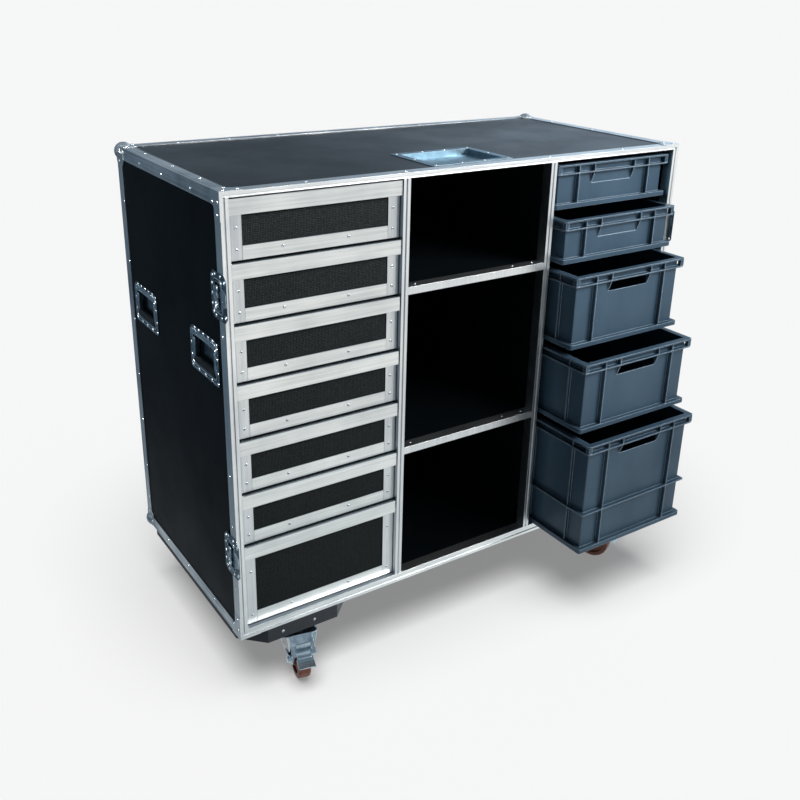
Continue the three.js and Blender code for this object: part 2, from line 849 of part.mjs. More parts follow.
function handleDish() {
  const back = -fit;
  const plate = sweepX(
    roundedOutline(
      [-handleWidth / 2, handleWidth / 2],
      [-handleTall / 2, handleTall / 2],
      handleLowRound,
      handleTopRound,
    ),
    [back - dishWall, back],
  );
  const panShape = (inset) => roundedOutline(
    [-handlePanWidth / 2 + inset, handlePanWidth / 2 - inset],
    [-handlePanDrop - handlePanTall / 2 + inset, -handlePanDrop + handlePanTall / 2 - inset],
    handlePanRound - inset,
  );
  const pan = sweepX(panShape(0), [back - dishWall / 2, handlePanDepth]);
  const hollow = sweepX(panShape(dishWall), [back - dishWall - overrun, handlePanDepth - dishWall]);
  const half = handlePanWidth / 2;
  const pivot = turnedAboutY(
    rod(bailPinRadius + fit, [-half - overrun, half + overrun]),
    pinSteps,
    [bailHingeDepth, 0, bailHingeHeight],
  );
  return cut(join(plate, pan), hollow, pivot);
}

function handleBail() {
  const armOut = handlePanWidth / 2 - dishWall - bailArmGap;
  const armIn = armOut - bailArmWidth;
  const arm = new THREE.Shape();
  const half = bailArmDepth / 2;
  arm.absarc(0, 0, half, 0, Math.PI, false);
  arm.lineTo(-half, -bailLength);
  arm.absarc(0, -bailLength, half, Math.PI, Math.PI * 2, false);
  const pinEnd = handlePanWidth / 2 + bailPinReach;
  const arms = [[-armOut, -armIn], [armIn, armOut]].map((span) => sweepY(arm, span));
  const pins = [[-pinEnd, -armIn - half], [armIn + half, pinEnd]].map((span) => (
    turnedAboutY(rod(bailPinRadius, span), pinSteps, [0, 0, 0])
  ));
  const gripEnd = armIn + fit;
  const gripProfile = [
    [0, -gripEnd],
    [bailGripEndRadius, -gripEnd],
    [bailGripRadius, -gripEnd + bailGripEnd],
    [bailGripRadius, gripEnd - bailGripEnd],
    [bailGripEndRadius, gripEnd],
    [0, gripEnd],
  ];
  const grip = turnedAboutY(gripProfile, roundSteps, [bailGripDepth - bailHingeDepth, 0, -bailLength]);
  return join(...arms, ...pins, grip);
}

function makeHandles(parent) {
  const dish = handleDish();
  const bail = handleBail();
  for (const side of ['left', 'right']) {
    const isRight = side === 'right';
    for (const [end, setback] of Object.entries(handleSetbacks)) {
      const x = isRight ? caseWidth - seat : seat;
      const group = addGroup(parent, [x, setback, handleHeight], isRight);
      addPiece(group, `handle_dish_${side}_${end}`, dish, materials.zinc);
      addPiece(
        group,
        `handle_bail_${side}_${end}`,
        bail,
        materials.rubber,
        [bailHingeDepth, 0, bailHingeHeight],
      );
    }
  }
}

// Butterfly latches. The local frame has x into the case from the side face, at the wing's pivot.

function latchDish() {
  const half = latchTall / 2;
  const plate = outline([
    [-latchFrontReach, -half + latchClip],
    [-latchFrontReach + latchClip, -half],
    [latchBackReach - latchClip, -half],
    [latchBackReach, -half + latchClip],
    [latchBackReach, half - latchClip],
    [latchBackReach - latchClip, half],
    [-latchFrontReach + latchClip, half],
    [-latchFrontReach, half - latchClip],
  ]);
  const face = -fit - dishWall;
  const panShape = (inset) => roundedOutline(
    [-latchPanWidth / 2 + inset, latchPanWidth / 2 - inset],
    [-latchPanTall / 2 + inset, latchPanTall / 2 - inset],
    latchPanRound - inset,
  );
  const pan = sweepX(panShape(0), [face + dishWall / 2, latchPanDepth]);
  const hollow = sweepX(panShape(dishWall), [face - overrun, latchPanDepth - dishWall]);
  const eyes = [-1, 1].map((sign) => sweepX(
    disc(-latchFrontReach + latchEyeInset, sign * latchEyeShare * half, latchEyeRadius),
    [face - overrun, 0],
  ));
  return cut(join(sweepX(plate, [face, -fit]), pan), hollow, ...eyes);
}

function latchWing() {
  const shape = new THREE.Shape();
  const half = wingTip / 2;
  const waist = wingWaist / 2;
  shape.moveTo(waist, 0);
  shape.lineTo(half, wingReach - half);
  shape.absarc(0, wingReach - half, half, 0, Math.PI, false);
  shape.lineTo(-waist, 0);
  shape.lineTo(-half, -wingReach + half);
  shape.absarc(0, -wingReach + half, half, Math.PI, Math.PI * 2, false);
  shape.lineTo(waist, 0);
  const outer = -fit - dishWall - wingProud - wingWall;
  const wing = sweepX(shape, [outer, outer + wingWall]);
  const hub = turnedAboutX(rod(wingHubRadius, [outer - wingHubCap, latchPanDepth - dishWall - fit]));
  return join(wing, hub);
}

function makeLatches(parent) {
  const dish = latchDish();
  const wing = latchWing();
  for (const side of ['left', 'right']) {
    const isRight = side === 'right';
    for (const [end, height] of Object.entries(latchHeights)) {
      const group = addGroup(parent, [isRight ? caseWidth : 0, latchSetback, height], isRight);
      addPiece(group, `latch_dish_${side}_${end}`, dish, materials.zinc);
      addPiece(group, `latch_wing_${side}_${end}`, wing, materials.zinc);
    }
  }
}

function makeTopDish(parent) {
  const face = caseHeight - seat + fit;
  const halfWidth = topDishWidth / 2;
  const plate = sweepZ(
    roundedOutline([-halfWidth, halfWidth], [0, topDishDepth], topDishRound),
    [0, dishWall],
  );
  const panShape = (inset) => roundedOutline(
    [-halfWidth + inset, halfWidth - inset],
    [inset, topDishDepth - inset],
    topDishRound,
  );
  const pan = sweepZ(panShape(topDishFlange), [-topDishRecess - dishWall, dishWall / 2]);
  const hollow = sweepZ(panShape(topDishFlange + dishWall), [-topDishRecess, dishWall + overrun]);
  addPiece(
    parent,
    'top_dish',
    cut(join(plate, pan), hollow),
    materials.zinc,
    [caseWidth / 2, topDishFront, face],
  );
}

// Castor boards and castors

function castorBoard() {
  const board = outline([
    [boardChamfer, 0],
    [boardWidth - boardChamfer, 0],
    [boardWidth, boardChamfer],
    [boardWidth, boardLength],
    [0, boardLength],
    [0, boardChamfer],
  ]);
  const braceRelief = slab(
    [-overrun, braceTopReach + fit - boardInset],
    [-overrun, braceSideReach + fit],
    [-braceWall - fit, overrun],
  );
  const leafRelief = slab(
    [-overrun, ballLeaf + fit - boardInset],
    [caseDepth - ballLeaf - fit, boardLength + overrun],
    [-ballLeafWall - fit, overrun],
  );
  const ballSpan = 2 * ballRadius - ballProud + fit;
  const ballRelief = slab(
    [-overrun, ballSpan - boardInset],
    [caseDepth - ballSpan, boardLength + overrun],
    [-ballProud - fit, overrun],
  );
  const solids = [cut(sweepZ(board, [-boardThickness, -fit]), braceRelief, leafRelief, ballRelief)];
  for (const y of [swivelSetback, boardLength - swivelSetback]) {
    const x = swivelInset - boardInset;
    solids.push(slab(
      [x - platePitchX / 2, x + platePitchX / 2],
      [y - platePitchY / 2, y + platePitchY / 2],
      [-boardThickness - plateWall, -boardThickness + plateWall],
    ));
    const race = turned(rod(raceRadius, [-boardThickness - plateWall - raceHeight, -boardThickness]));
    solids.push(toSolid(race.translate(x, y, 0)));
  }
  return join(...solids);
}

// A castor's local frame has its origin on the swivel axis at the board's underside, trailing to -y.

const axleDrop = castorHeight - wheelDiameter / 2;
const headTop = plateWall + raceHeight + fit;
const crownTop = headTop + headHeight;
const cheekOuter = forkInside / 2 + forkWall;

function brakeHood() {
  const length = Math.hypot(hoodReach, hoodDrop);
  const sheet = outline([
    [-hoodTopWidth / 2, 0],
    [hoodTopWidth / 2, 0],
    [hoodLipWidth / 2, length],
    [-hoodLipWidth / 2, length],
  ]);
  const slot = slab([-slotWidth / 2, slotWidth / 2], [length * slotStartShare, length * slotEndShare],
    [-overrun, hoodWall + overrun]);
  const lip = slab(
    [-hoodLipWidth / 2, hoodLipWidth / 2],
    [length - hoodWall, length],
    [0, hoodWall + hoodLip],
  );
  const flat = toGeometry(cut(join(sweepZ(sheet, [0, hoodWall]), lip), slot));
  const ahead = new THREE.Vector3(0, -hoodReach, -hoodDrop).divideScalar(length);
  const outward = new THREE.Vector3(0, -hoodDrop, hoodReach).divideScalar(length);
  flat.applyMatrix4(new THREE.Matrix4().makeBasis(new THREE.Vector3(-1, 0, 0), ahead, outward));
  return toSolid(flat.translate(0, -forkCrownFront, -crownTop));
}

// The shoulders lean out from the axle to the crown, drawn in (x, z) and kept within the cheeks' outline.
function forkShoulders(cheek) {
  const [top, mid, low] = shoulderHalfWidths;
  const [midDrop, lowDrop] = shoulderDrops;
  const section = (inset, drop) => {
    const right = [
      [cheekOuter - inset, -axleDrop],
      [low - inset, -lowDrop],
      [mid - inset, -midDrop],
      [top - inset, -drop],
    ];
    return outline([...right, ...right.map(([x, z]) => [-x, z]).reverse()]);
  };
  const whole = sweepY(section(0, crownTop), [-forkCrownFront, forkCrownBack]);
  const hollow = [-forkCrownFront - overrun, forkCrownBack + overrun];
  const inside = sweepY(section(forkWall, crownTop + forkWall), hollow);
  const plan = roundedOutline([-top, top], [-forkCrownFront, forkCrownBack], crownRound);
  const reach = sweepZ(plan, [-axleDrop, -crownTop]);
  return overlap(overlap(cut(whole, inside), reach), sweepX(cheek, [-top, top]));
}

function castorFork(isBraked) {
  const head = toSolid(turned(rod(headRadius, [-crownTop - forkWall, -headTop])));
  const cheek = new THREE.Shape();
  cheek.moveTo(forkCrownBack, -crownTop);
  cheek.lineTo(-forkCrownFront, -crownTop);
  if (isBraked) {
    cheek.lineTo(-forkNose, -crownTop - (forkNose - forkCrownFront) * (hoodDrop / hoodReach));
    cheek.lineTo(-forkNose, -forkNoseDrop);
  }
  cheek.lineTo(-castorTrail - forkBoss, -axleDrop);
  cheek.absarc(-castorTrail, -axleDrop, forkBoss, Math.PI, Math.PI * 2, false);
  cheek.lineTo(forkCrownBack, -crownTop - forkCrownDrop);
  const cheeks = [[-cheekOuter, -cheekOuter + forkWall], [cheekOuter - forkWall, cheekOuter]]
    .map((span) => sweepX(cheek, span));
  const turnAbout = (profile, steps, y, z) => (
    toSolid(turned(profile, steps).rotateY(Math.PI / 2).translate(0, y, z))
  );
  const axle = turnAbout(rod(axleRadius, [-cheekOuter, cheekOuter]), roundSteps, -castorTrail, -axleDrop);
  const heads = [[-cheekOuter - axleHead, -cheekOuter], [cheekOuter, cheekOuter + axleHead]].map((span) => (
    turnAbout(rod(axleHeadRadius, span), pinSteps, -castorTrail, -axleDrop)
  ));
  const body = join(forkShoulders(cheek), head, ...cheeks, axle, ...heads);
  if (!isBraked) return body;
  const pinSpan = [-cheekOuter - overrun, cheekOuter + overrun];
  const pinHole = turnAbout(
    rod(pedalPinRadius + fit, pinSpan),
    pinSteps,
    -pedalHingeAhead,
    -pedalHingeDrop,
  );
  return cut(join(body, brakeHood()), pinHole);
}

function castorWheel() {
  const radius = wheelDiameter / 2;
  const half = wheelWidth / 2;
  const bore = axleRadius + axleClearance;
  const hubHalf = wheelHubWidth / 2;
  const right = [
    [bore, hubHalf],
    [wheelHubRadius, hubHalf],
    [wheelHubRadius, half - wheelDish],
    [wheelRimRadius, half - wheelDish],
    [wheelRimRadius, half],
    [radius - wheelEdge, half],
    [radius - wheelEdge * wheelEdgeShare, half - wheelEdge * wheelEdgeShare],
    [radius, half - wheelEdge],
  ];
  const left = right.map(([r, z]) => [r, -z]).reverse();
  const profile = [...left, ...right, left[0]];
  return toSolid(turned(profile).rotateY(Math.PI / 2));
}

// The brake pedal turns on a pin through the fork's cheeks, and comes out through the slot of the hood.
function brakePedal() {
  const pin = turnedAboutX(rod(pedalPinRadius, [-cheekOuter + fit, cheekOuter - fit]), pinSteps);
  const barrel = turnedAboutX(rod(pedalBarrelRadius, [-pedalWidth / 2, pedalWidth / 2]), pinSteps);
  const half = pedalWall / 2;
  const tipY = -pedalArm - paddleReach;
  const tipZ = -pedalArmDrop - paddleDrop;
  const arm = outline([
    [0, half],
    [0, -half],
    [-pedalArm, -pedalArmDrop - half],
    [-pedalArm, -pedalArmDrop + half],
  ]);
  const paddle = outline([
    [-pedalArm + half, -pedalArmDrop + half],
    [-pedalArm + half, -pedalArmDrop - half],
    [tipY, tipZ - half],
    [tipY, tipZ + half],
  ]);
  const tabZ = -pedalTabAhead * (pedalArmDrop / pedalArm);
  const tab = slab(
    [-pedalWidth / 2, pedalWidth / 2],
    [-pedalTabAhead - half, -pedalTabAhead + half],
    [tabZ, pedalTabTall],
  );
  return join(
    pin,
    barrel,
    sweepX(arm, [-pedalWidth / 2, pedalWidth / 2]),
    sweepX(paddle, [-paddleWidth / 2, paddleWidth / 2]),
    tab,
  );
}

function makeCastors(parent) {
  const board = castorBoard();
  const forks = { front: castorFork(true), rear: castorFork(false) };
  const wheel = castorWheel();
  const pedal = brakePedal();
  const setbacks = { front: swivelSetback, rear: boardLength - swivelSetback };
  const headings = { front: frontHeadings, rear: rearHeadings };
  ['left', 'right'].forEach((side, i) => {
    const isRight = side === 'right';
    const boardGroup = addGroup(parent, [isRight ? caseWidth - boardInset : boardInset, 0, 0], isRight);
    addPiece(boardGroup, `castor_board_${side}`, board, materials.board);
    const x = isRight ? caseWidth - swivelInset : swivelInset;
    for (const [end, setback] of Object.entries(setbacks)) {
      const group = addGroup(parent, [x, setback, -boardThickness], false, headings[end][i]);
      addPiece(group, `castor_fork_${end}_${side}`, forks[end], materials.zinc);
      addPiece(group, `castor_wheel_${end}_${side}`, wheel, materials.wheel, [0, -castorTrail, -axleDrop]);
      if (end === 'front') {
        addPiece(
          group,
          `brake_pedal_${side}`,
          pedal,
          materials.zinc,
          [0, -pedalHingeAhead, -pedalHingeDrop],
        );
      }
    }
  });
}

// Assembly

const object = new THREE.Group();
object.name = 'road_case_with_drawers';
const foremost = binSetback - Math.max(...binPullOuts);
const rearmost = caseDepth + ballProud;
const roadCase = addGroup(object, [-caseWidth / 2, -(foremost + rearmost) / 2, standHeight]);
roadCase.name = 'road_case';
makeCarcass(roadCase);
makeFrontFrame(roadCase);
makeBayFrame(roadCase);
makeEdgeFrame(roadCase);
makeDrawers(roadCase);
makeBins(roadCase);
makeHandles(roadCase);
makeLatches(roadCase);
makeTopDish(roadCase);
makeCastors(roadCase);

export default object;
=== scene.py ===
"""Looks of the road case with drawers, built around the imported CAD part.

The row frame is in metres, with +Z up and the open front to -Y. Sizes of the case are in millimetres.
"""

import json
import math

import bmesh
import bpy
from mathutils import Matrix, Vector

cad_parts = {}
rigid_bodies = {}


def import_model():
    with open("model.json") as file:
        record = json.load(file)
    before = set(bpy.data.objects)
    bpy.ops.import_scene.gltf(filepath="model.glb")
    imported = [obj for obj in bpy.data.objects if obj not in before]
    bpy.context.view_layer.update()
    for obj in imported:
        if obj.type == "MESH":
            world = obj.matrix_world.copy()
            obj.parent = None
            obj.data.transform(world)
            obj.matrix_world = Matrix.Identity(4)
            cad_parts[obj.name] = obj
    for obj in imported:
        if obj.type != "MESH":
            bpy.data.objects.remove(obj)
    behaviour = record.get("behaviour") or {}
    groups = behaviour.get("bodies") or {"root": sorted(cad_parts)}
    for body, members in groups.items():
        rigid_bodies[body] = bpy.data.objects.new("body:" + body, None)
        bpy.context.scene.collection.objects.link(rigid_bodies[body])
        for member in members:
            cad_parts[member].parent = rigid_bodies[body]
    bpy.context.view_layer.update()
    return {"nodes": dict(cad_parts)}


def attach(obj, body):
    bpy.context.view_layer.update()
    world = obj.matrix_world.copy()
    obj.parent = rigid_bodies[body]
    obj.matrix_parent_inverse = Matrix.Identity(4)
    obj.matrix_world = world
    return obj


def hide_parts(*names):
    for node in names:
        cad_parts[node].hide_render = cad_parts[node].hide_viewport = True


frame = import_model()
MM = 0.001

# Case frame, as in the CAD: origin at the case's front left bottom corner, in millimetres
WIDTH, DEPTH, HEIGHT = 1325.0, 628.0, 1069.0
ORIGIN = Vector((-WIDTH / 2, -223.0, 172.0))
POST = 18.6
BIN_BAY = 416.8
BAY = (WIDTH - 4 * POST - BIN_BAY) / 2
OPEN_LOW, OPEN_HIGH = 24.6, HEIGHT - 12.6
ANGLE_LEG = 30.0

LEFTWARD, RIGHTWARD, FRONTWARD, BACKWARD, UPWARD = (-1, 0, 0), (1, 0, 0), (0, -1, 0), (0, 1, 0), (0, 0, 1)


def at(x, y, z):
    """A point of the case frame, in metres of the row frame."""
    return (Vector((x, y, z)) + ORIGIN) * MM


def srgb(red, green, blue):
    """A colour read as 0 to 255, as the linear value that Blender uses."""
    def linear(value):
        value /= 255.0
        return value / 12.92 if value <= 0.04045 else ((value + 0.055) / 1.055) ** 2.4
    return (linear(red), linear(green), linear(blue), 1.0)


# Materials

GREY = (0.5, 0.5, 0.5, 1.0)
EVEN = (1, 1, 1)
STREAKS = {"x": (0.02, 1, 1), "y": (1, 0.02, 1), "z": (1, 1, 0.02)}
NOISE_SPAN = (0.3, 0.7)
# Cosines of the turn of a softened normal where an edge's painted highlight starts and where it is full
EDGE_HIGHLIGHT_SPAN = (0.97, 0.75)


class Tree:
    """A node tree and short ways to add nodes to it. A value is a constant or another node's socket."""

    def __init__(self, tree):
        self.nodes, self.links = tree.nodes, tree.links

    def node(self, kind, values):
        node = self.nodes.new(kind)
        for key, value in values.items():
            if isinstance(value, bpy.types.NodeSocket):
                self.links.new(value, node.inputs[key])
            else:
                node.inputs[key].default_value = value
        return node

    def math(self, operation, a, b):
        node = self.node("ShaderNodeMath", {0: a, 1: b})
        node.operation = operation
        return node.outputs["Value"]

    def remap(self, value, low, high, to_low, to_high, interpolation="LINEAR"):
        node = self.node("ShaderNodeMapRange", {
            "Value": value, "From Min": low, "From Max": high, "To Min": to_low, "To Max": to_high})
        node.interpolation_type = interpolation
        return node.outputs["Result"]

    def axis(self, place, name):
        return self.node("ShaderNodeSeparateXYZ", {"Vector": place}).outputs[name]

    def blend(self, factor, a, b):
        """Colour a, or b where the factor is 1."""
        node = self.nodes.new("ShaderNodeMix")
        node.data_type = "RGBA"
        for key, value in (("Factor", factor), (6, a), (7, b)):
            if isinstance(value, bpy.types.NodeSocket):
                self.links.new(value, node.inputs[key])
            else:
                node.inputs[key].default_value = value
        return node.outputs[2]

    def mix_shader(self, factor, a, b):
        return self.node("ShaderNodeMixShader", {"Fac": factor, 1: a, 2: b}).outputs["Shader"]

    def seen_ray(self, path):
        """1 for rays that show the backdrop itself: from the camera, or through glass."""
        return self.math("MAXIMUM", path.outputs["Is Camera Ray"], path.outputs["Is Transmission Ray"])


class Look(Tree):
    """A material and short ways to add nodes to it."""

    def __init__(self, name, roughness, metallic=0.0, specular=0.5):
        self.material = bpy.data.materials.new(name)
        self.material.use_nodes = True
        super().__init__(self.material.node_tree)
        self.shader = self.nodes["Principled BSDF"]
        self.shader.inputs["Base Color"].default_value = GREY
        self.shader.inputs["Roughness"].default_value = roughness
        self.shader.inputs["Metallic"].default_value = metallic
        self.shader.inputs["Specular IOR Level"].default_value = specular
        self.place = self.nodes.new("ShaderNodeTexCoord").outputs["Object"]
        self.normal = None

    def noise(self, stretch, scale, detail, roughness, distortion=0.0):
        mapping = self.node("ShaderNodeMapping", {"Vector": self.place, "Scale": stretch})
        return self.node("ShaderNodeTexNoise", {
            "Vector": mapping.outputs["Vector"], "Scale": scale, "Detail": detail,
            "Roughness": roughness, "Distortion": distortion}).outputs["Fac"]

    def mesh(self, pitch):
        """A diagonal mesh on faces that look to the front, from -1 to 1. The pitch is in metres."""
        x, z = self.axis(self.place, "X"), self.axis(self.place, "Z")
        turns = math.pi * math.sqrt(2) / pitch
        waves = [self.math("SINE", self.math("MULTIPLY", self.math(way, x, z), turns), 0.0)
                 for way in ("ADD", "SUBTRACT")]
        return self.math("MULTIPLY", *waves)

    def shared(self, first, share, second):
        """This share of the first value and the rest of the second."""
        return self.math("ADD", self.math("MULTIPLY", first, share), self.math("MULTIPLY", second, 1 - share))

    def ramp(self, value, low, low_color, high, high_color):
        ramp = self.node("ShaderNodeValToRGB", {"Fac": value})
        for element, position, color in zip(ramp.color_ramp.elements, (low, high), (low_color, high_color)):
            element.position = position
            element.color = color
        return ramp.outputs["Color"]

    def between(self, name, low, high):
        """1 where a coordinate, in metres of the row frame, lies between two values."""
        value = self.axis(self.place, name)
        above, below = self.math("GREATER_THAN", value, low), self.math("LESS_THAN", value, high)
        return self.math("MULTIPLY", above, below)

    def streaks(self, runs):
        """Streaks along an axis, or for (split axis, low, high, inside, outside) along two axes."""
        if isinstance(runs, str):
            return self.noise(STREAKS[runs], 230.0, 3.0, 0.6)
        name, low, high, inside, outside = runs
        return self.node("ShaderNodeMix", {
            "Factor": self.between(name, low, high),
            2: self.streaks(outside), 3: self.streaks(inside)}).outputs[0]

    def with_painted_edge_highlight(self, color, bright, amount):
        """The colour, with a painted highlight of the colour bright in a thin line along the edges that
        soften rounds.
        """
        geometry = self.nodes.new("ShaderNodeNewGeometry")
        dot = self.node("ShaderNodeVectorMath", {0: self.normal, 1: geometry.outputs["Normal"]})
        dot.operation = "DOT_PRODUCT"
        return self.blend(self.remap(dot.outputs["Value"], *EDGE_HIGHLIGHT_SPAN, 0.0, amount), color, bright)

    def color(self, value):
        self.links.new(value, self.shader.inputs["Base Color"])

    def rough(self, value, at_low, at_high):
        """Roughness that follows a noise value between these two."""
        self.links.new(self.remap(value, *NOISE_SPAN, at_low, at_high), self.shader.inputs["Roughness"])

    def soften(self, radius):
        """Edges catch the light as if they were rounded by this radius, in metres."""
        bevel = self.node("ShaderNodeBevel", {"Radius": radius})
        bevel.samples = 4
        self.normal = bevel.outputs["Normal"]
        self.links.new(self.normal, self.shader.inputs["Normal"])

    def bump(self, value, distance, strength):
        bump = self.node("ShaderNodeBump", {"Height": value, "Strength": strength, "Distance": distance})
        if self.normal:
            self.links.new(self.normal, bump.inputs["Normal"])
        self.normal = bump.outputs["Normal"]
        self.links.new(self.normal, self.shader.inputs["Normal"])


def brushed(name, runs, base, shade, roughness, edge=0.25):
    """Drawn aluminium with a painted highlight along its edges. runs says where its streaks run, as
    Look.streaks takes it, and edge how strong the painted edge highlight is.
    """
    look = Look(name, roughness, metallic=1.0)
    streaks = look.streaks(runs)
    clouds = look.noise(EVEN, 7.0, 3.0, 0.55)
    tone = look.shared(streaks, 0.5, clouds)
    color = look.ramp(tone, 0.36, shade, 0.62, base)
    look.rough(tone, roughness + 0.07, roughness - 0.05)
    look.soften(0.0007)
    look.color(look.with_painted_edge_highlight(color, (0.93, 0.94, 0.95, 1.0), edge))
    look.bump(streaks, 0.00004, 0.5)
    return look.material


def zinc_plate(name, dark, light, roughness):
    """Zinc plate with clouds, a fine spangle and a painted highlight along its edges."""
    look = Look(name, roughness, metallic=1.0)
    clouds = look.noise(EVEN, 38.0, 4.0, 0.6, distortion=0.3)
    spangle = look.noise(EVEN, 420.0, 2.0, 0.5)
    tone = look.shared(clouds, 0.7, spangle)
    color = look.ramp(tone, 0.35, dark, 0.65, light)
    look.rough(tone, roughness + 0.07, roughness - 0.05)
    look.soften(0.0009)
    look.color(look.with_painted_edge_highlight(color, (0.86, 0.92, 0.95, 1.0), 0.5))
    look.bump(spangle, 0.00003, 0.5)
    return look.material


def laminate(name, low, high, roughness, grain, depth, specular):
    """Black phenolic-faced plywood with a fine pressed grain."""
    look = Look(name, roughness, specular=specular)
    fine = look.noise(EVEN, grain, 2.0, 0.5)
    dust = look.noise(EVEN, 5.0, 4.0, 0.6)
    look.color(look.ramp(look.shared(fine, 0.6, dust), 0.36, low, 0.64, high))
    look.rough(dust, roughness - 0.05, roughness + 0.07)
    look.bump(fine, depth, 0.8)
    return look.material


def meshed_front():
    """Drawer fronts: black film with a pressed diagonal mesh, painted a little paler towards the top as
    painted light.
    """
    look = Look("black_meshed_front", 0.55, specular=0.1)
    mesh = look.mesh(pitch=0.0052)
    dust = look.noise(EVEN, 14.0, 4.0, 0.6)
    grains = look.noise(EVEN, 420.0, 2.0, 0.6)
    # Painted light: the mesh's ridges grow paler with height, where more light falls; the grains give them a
    # worn, uneven tone.
    painted_light_by_height = look.remap(look.axis(look.place, "Z"), 0.2, 1.2, 0.5, 1.25)
    worn_and_painted_light = look.math("MULTIPLY", look.remap(grains, 0.35, 0.7, 0.1, 1.0), painted_light_by_height)
    raised_and_painted_light = look.math("MULTIPLY", look.remap(mesh, 0.1, 0.9, 0.15, 1.0), worn_and_painted_light)
    ground = look.ramp(dust, 0.3, srgb(8, 11, 12), 0.7, srgb(16, 20, 21))
    look.color(look.blend(raised_and_painted_light, ground, srgb(66, 71, 72)))
    look.rough(dust, 0.48, 0.62)
    look.bump(mesh, 0.00025, 0.8)
    return look.material


def bin_plastic():
    """Blue-grey moulded plastic whose ribs and rims show thin pale lines of painted highlight."""
    look = Look("grey_bin_plastic", 0.42, specular=0.3)
    clouds = look.noise((1, 1, 0.5), 7.0, 4.0, 0.6)
    fine = look.noise(EVEN, 800.0, 2.0, 0.5)
    color = look.ramp(clouds, 0.3, srgb(46, 68, 85), 0.7, srgb(58, 82, 100))
    look.rough(clouds, 0.48, 0.38)
    look.soften(0.0021)
    look.color(look.with_painted_edge_highlight(color, srgb(196, 216, 232), 1.0))
    look.bump(fine, 0.00002, 0.6)
    return look.material


def grip_rubber():
    look = Look("black_grip", 0.5, specular=0.4)
    fine = look.noise(EVEN, 500.0, 2.0, 0.5)
    look.color(look.ramp(fine, 0.35, srgb(14, 16, 18), 0.65, srgb(26, 28, 31)))
    look.bump(fine, 0.00005, 0.6)
    return look.material


def wheel_tread():
    look = Look("brown_red_tread", 0.48, specular=0.45)
    clouds = look.noise(EVEN, 60.0, 4.0, 0.65)
    look.color(look.ramp(clouds, 0.34, srgb(98, 46, 30), 0.66, srgb(146, 80, 56)))
    look.rough(clouds, 0.42, 0.58)
    look.soften(0.001)
    look.bump(clouds, 0.0001, 0.5)
    return look.material


def rivet_hole_painted_shade():
    """The inside of a blind rivet, painted dark as the shade in its hole."""
    look = Look("rivet_hole_painted_shade", 0.7, specular=0.2)
    fine = look.noise(EVEN, 900.0, 2.0, 0.5)
    look.color(look.ramp(fine, 0.35, srgb(18, 20, 23), 0.65, srgb(34, 37, 41)))
    return look.material


def height_span(inset):
    """The case's height less an inset at both ends, in metres of the row frame."""
    return (ORIGIN.z + inset) * MM, (ORIGIN.z + HEIGHT - inset) * MM


FRONT_RIM = 26.0
ANGLE_BAND = 30.5
# The back legs of the edge angles lie between these Y values, in metres of the row frame
BACK_SPAN = ((ORIGIN.y + DEPTH - ANGLE_LEG) * MM, 0.45)
LIGHT, SHADE = srgb(244, 245, 243), srgb(218, 220, 219)
GREY_LIGHT, GREY_SHADE = srgb(226, 228, 229), srgb(205, 208, 210)
front_rim_look = brushed(
    "aluminium_front_rim", ("Z", *height_span(FRONT_RIM), "z", "x"), LIGHT, GREY_SHADE, roughness=0.34)
bay_rim_look = brushed("aluminium_bay_rim", "z", GREY_LIGHT, GREY_SHADE, roughness=0.34)
edge_runs = ("Y", *BACK_SPAN, ("Z", *height_span(ANGLE_BAND), "z", "x"), "y")
# The edge angles take a stronger painted highlight along their edges.
edge_look = brushed("aluminium_edge", edge_runs, LIGHT, srgb(140, 152, 162), roughness=0.3, edge=0.6)
lip_look = brushed("aluminium_lip", "x", LIGHT, SHADE, roughness=0.36)
strip_look = brushed("aluminium_strip", "z", GREY_LIGHT, GREY_SHADE, roughness=0.36)
# One black laminate in two copies: painted darker on the sides and back as shade, and lighter on the top as
# painted light.
shaded_panel_look = laminate(
    "black_laminate", srgb(3, 6, 8), srgb(7, 11, 13),
    roughness=0.36, grain=900.0, depth=0.00003, specular=0.04)
lit_top_look = laminate(
    "black_laminate_lit_top", srgb(12, 14, 17), srgb(22, 25, 30),
    roughness=0.34, grain=900.0, depth=0.00003, specular=0.22)
front_look = meshed_front()
inner_look = laminate(
    "black_inner_board", srgb(2, 6, 9), srgb(6, 11, 15),
    roughness=0.5, grain=700.0, depth=0.00005, specular=0.12)
board_look = laminate(
    "castor_board_paint", srgb(26, 29, 33), srgb(44, 49, 55),
    roughness=0.5, grain=380.0, depth=0.00012, specular=0.4)
zinc = zinc_plate("bright_zinc", srgb(150, 168, 178), srgb(226, 236, 240), roughness=0.22)
top_dish_zinc = zinc_plate("dish_zinc", srgb(118, 142, 155), srgb(150, 174, 186), roughness=0.45)
# The dishes of the handles and latches take a darker copy of the zinc, as painted shade.
painted_shade_zinc = zinc_plate("painted_shade_zinc", srgb(52, 66, 76), srgb(120, 140, 150), roughness=0.2)
# The castor forks take a copy of the zinc with a darker low end, as painted shade on their cheeks.
fork_zinc_painted_shade = zinc_plate("fork_zinc_painted_shade", srgb(104, 124, 137), srgb(222, 235, 241), roughness=0.18)
rivet_metal = zinc_plate("rivet_aluminium", srgb(214, 219, 224), srgb(236, 239, 242), roughness=0.3)
hole_painted_shade = rivet_hole_painted_shade()

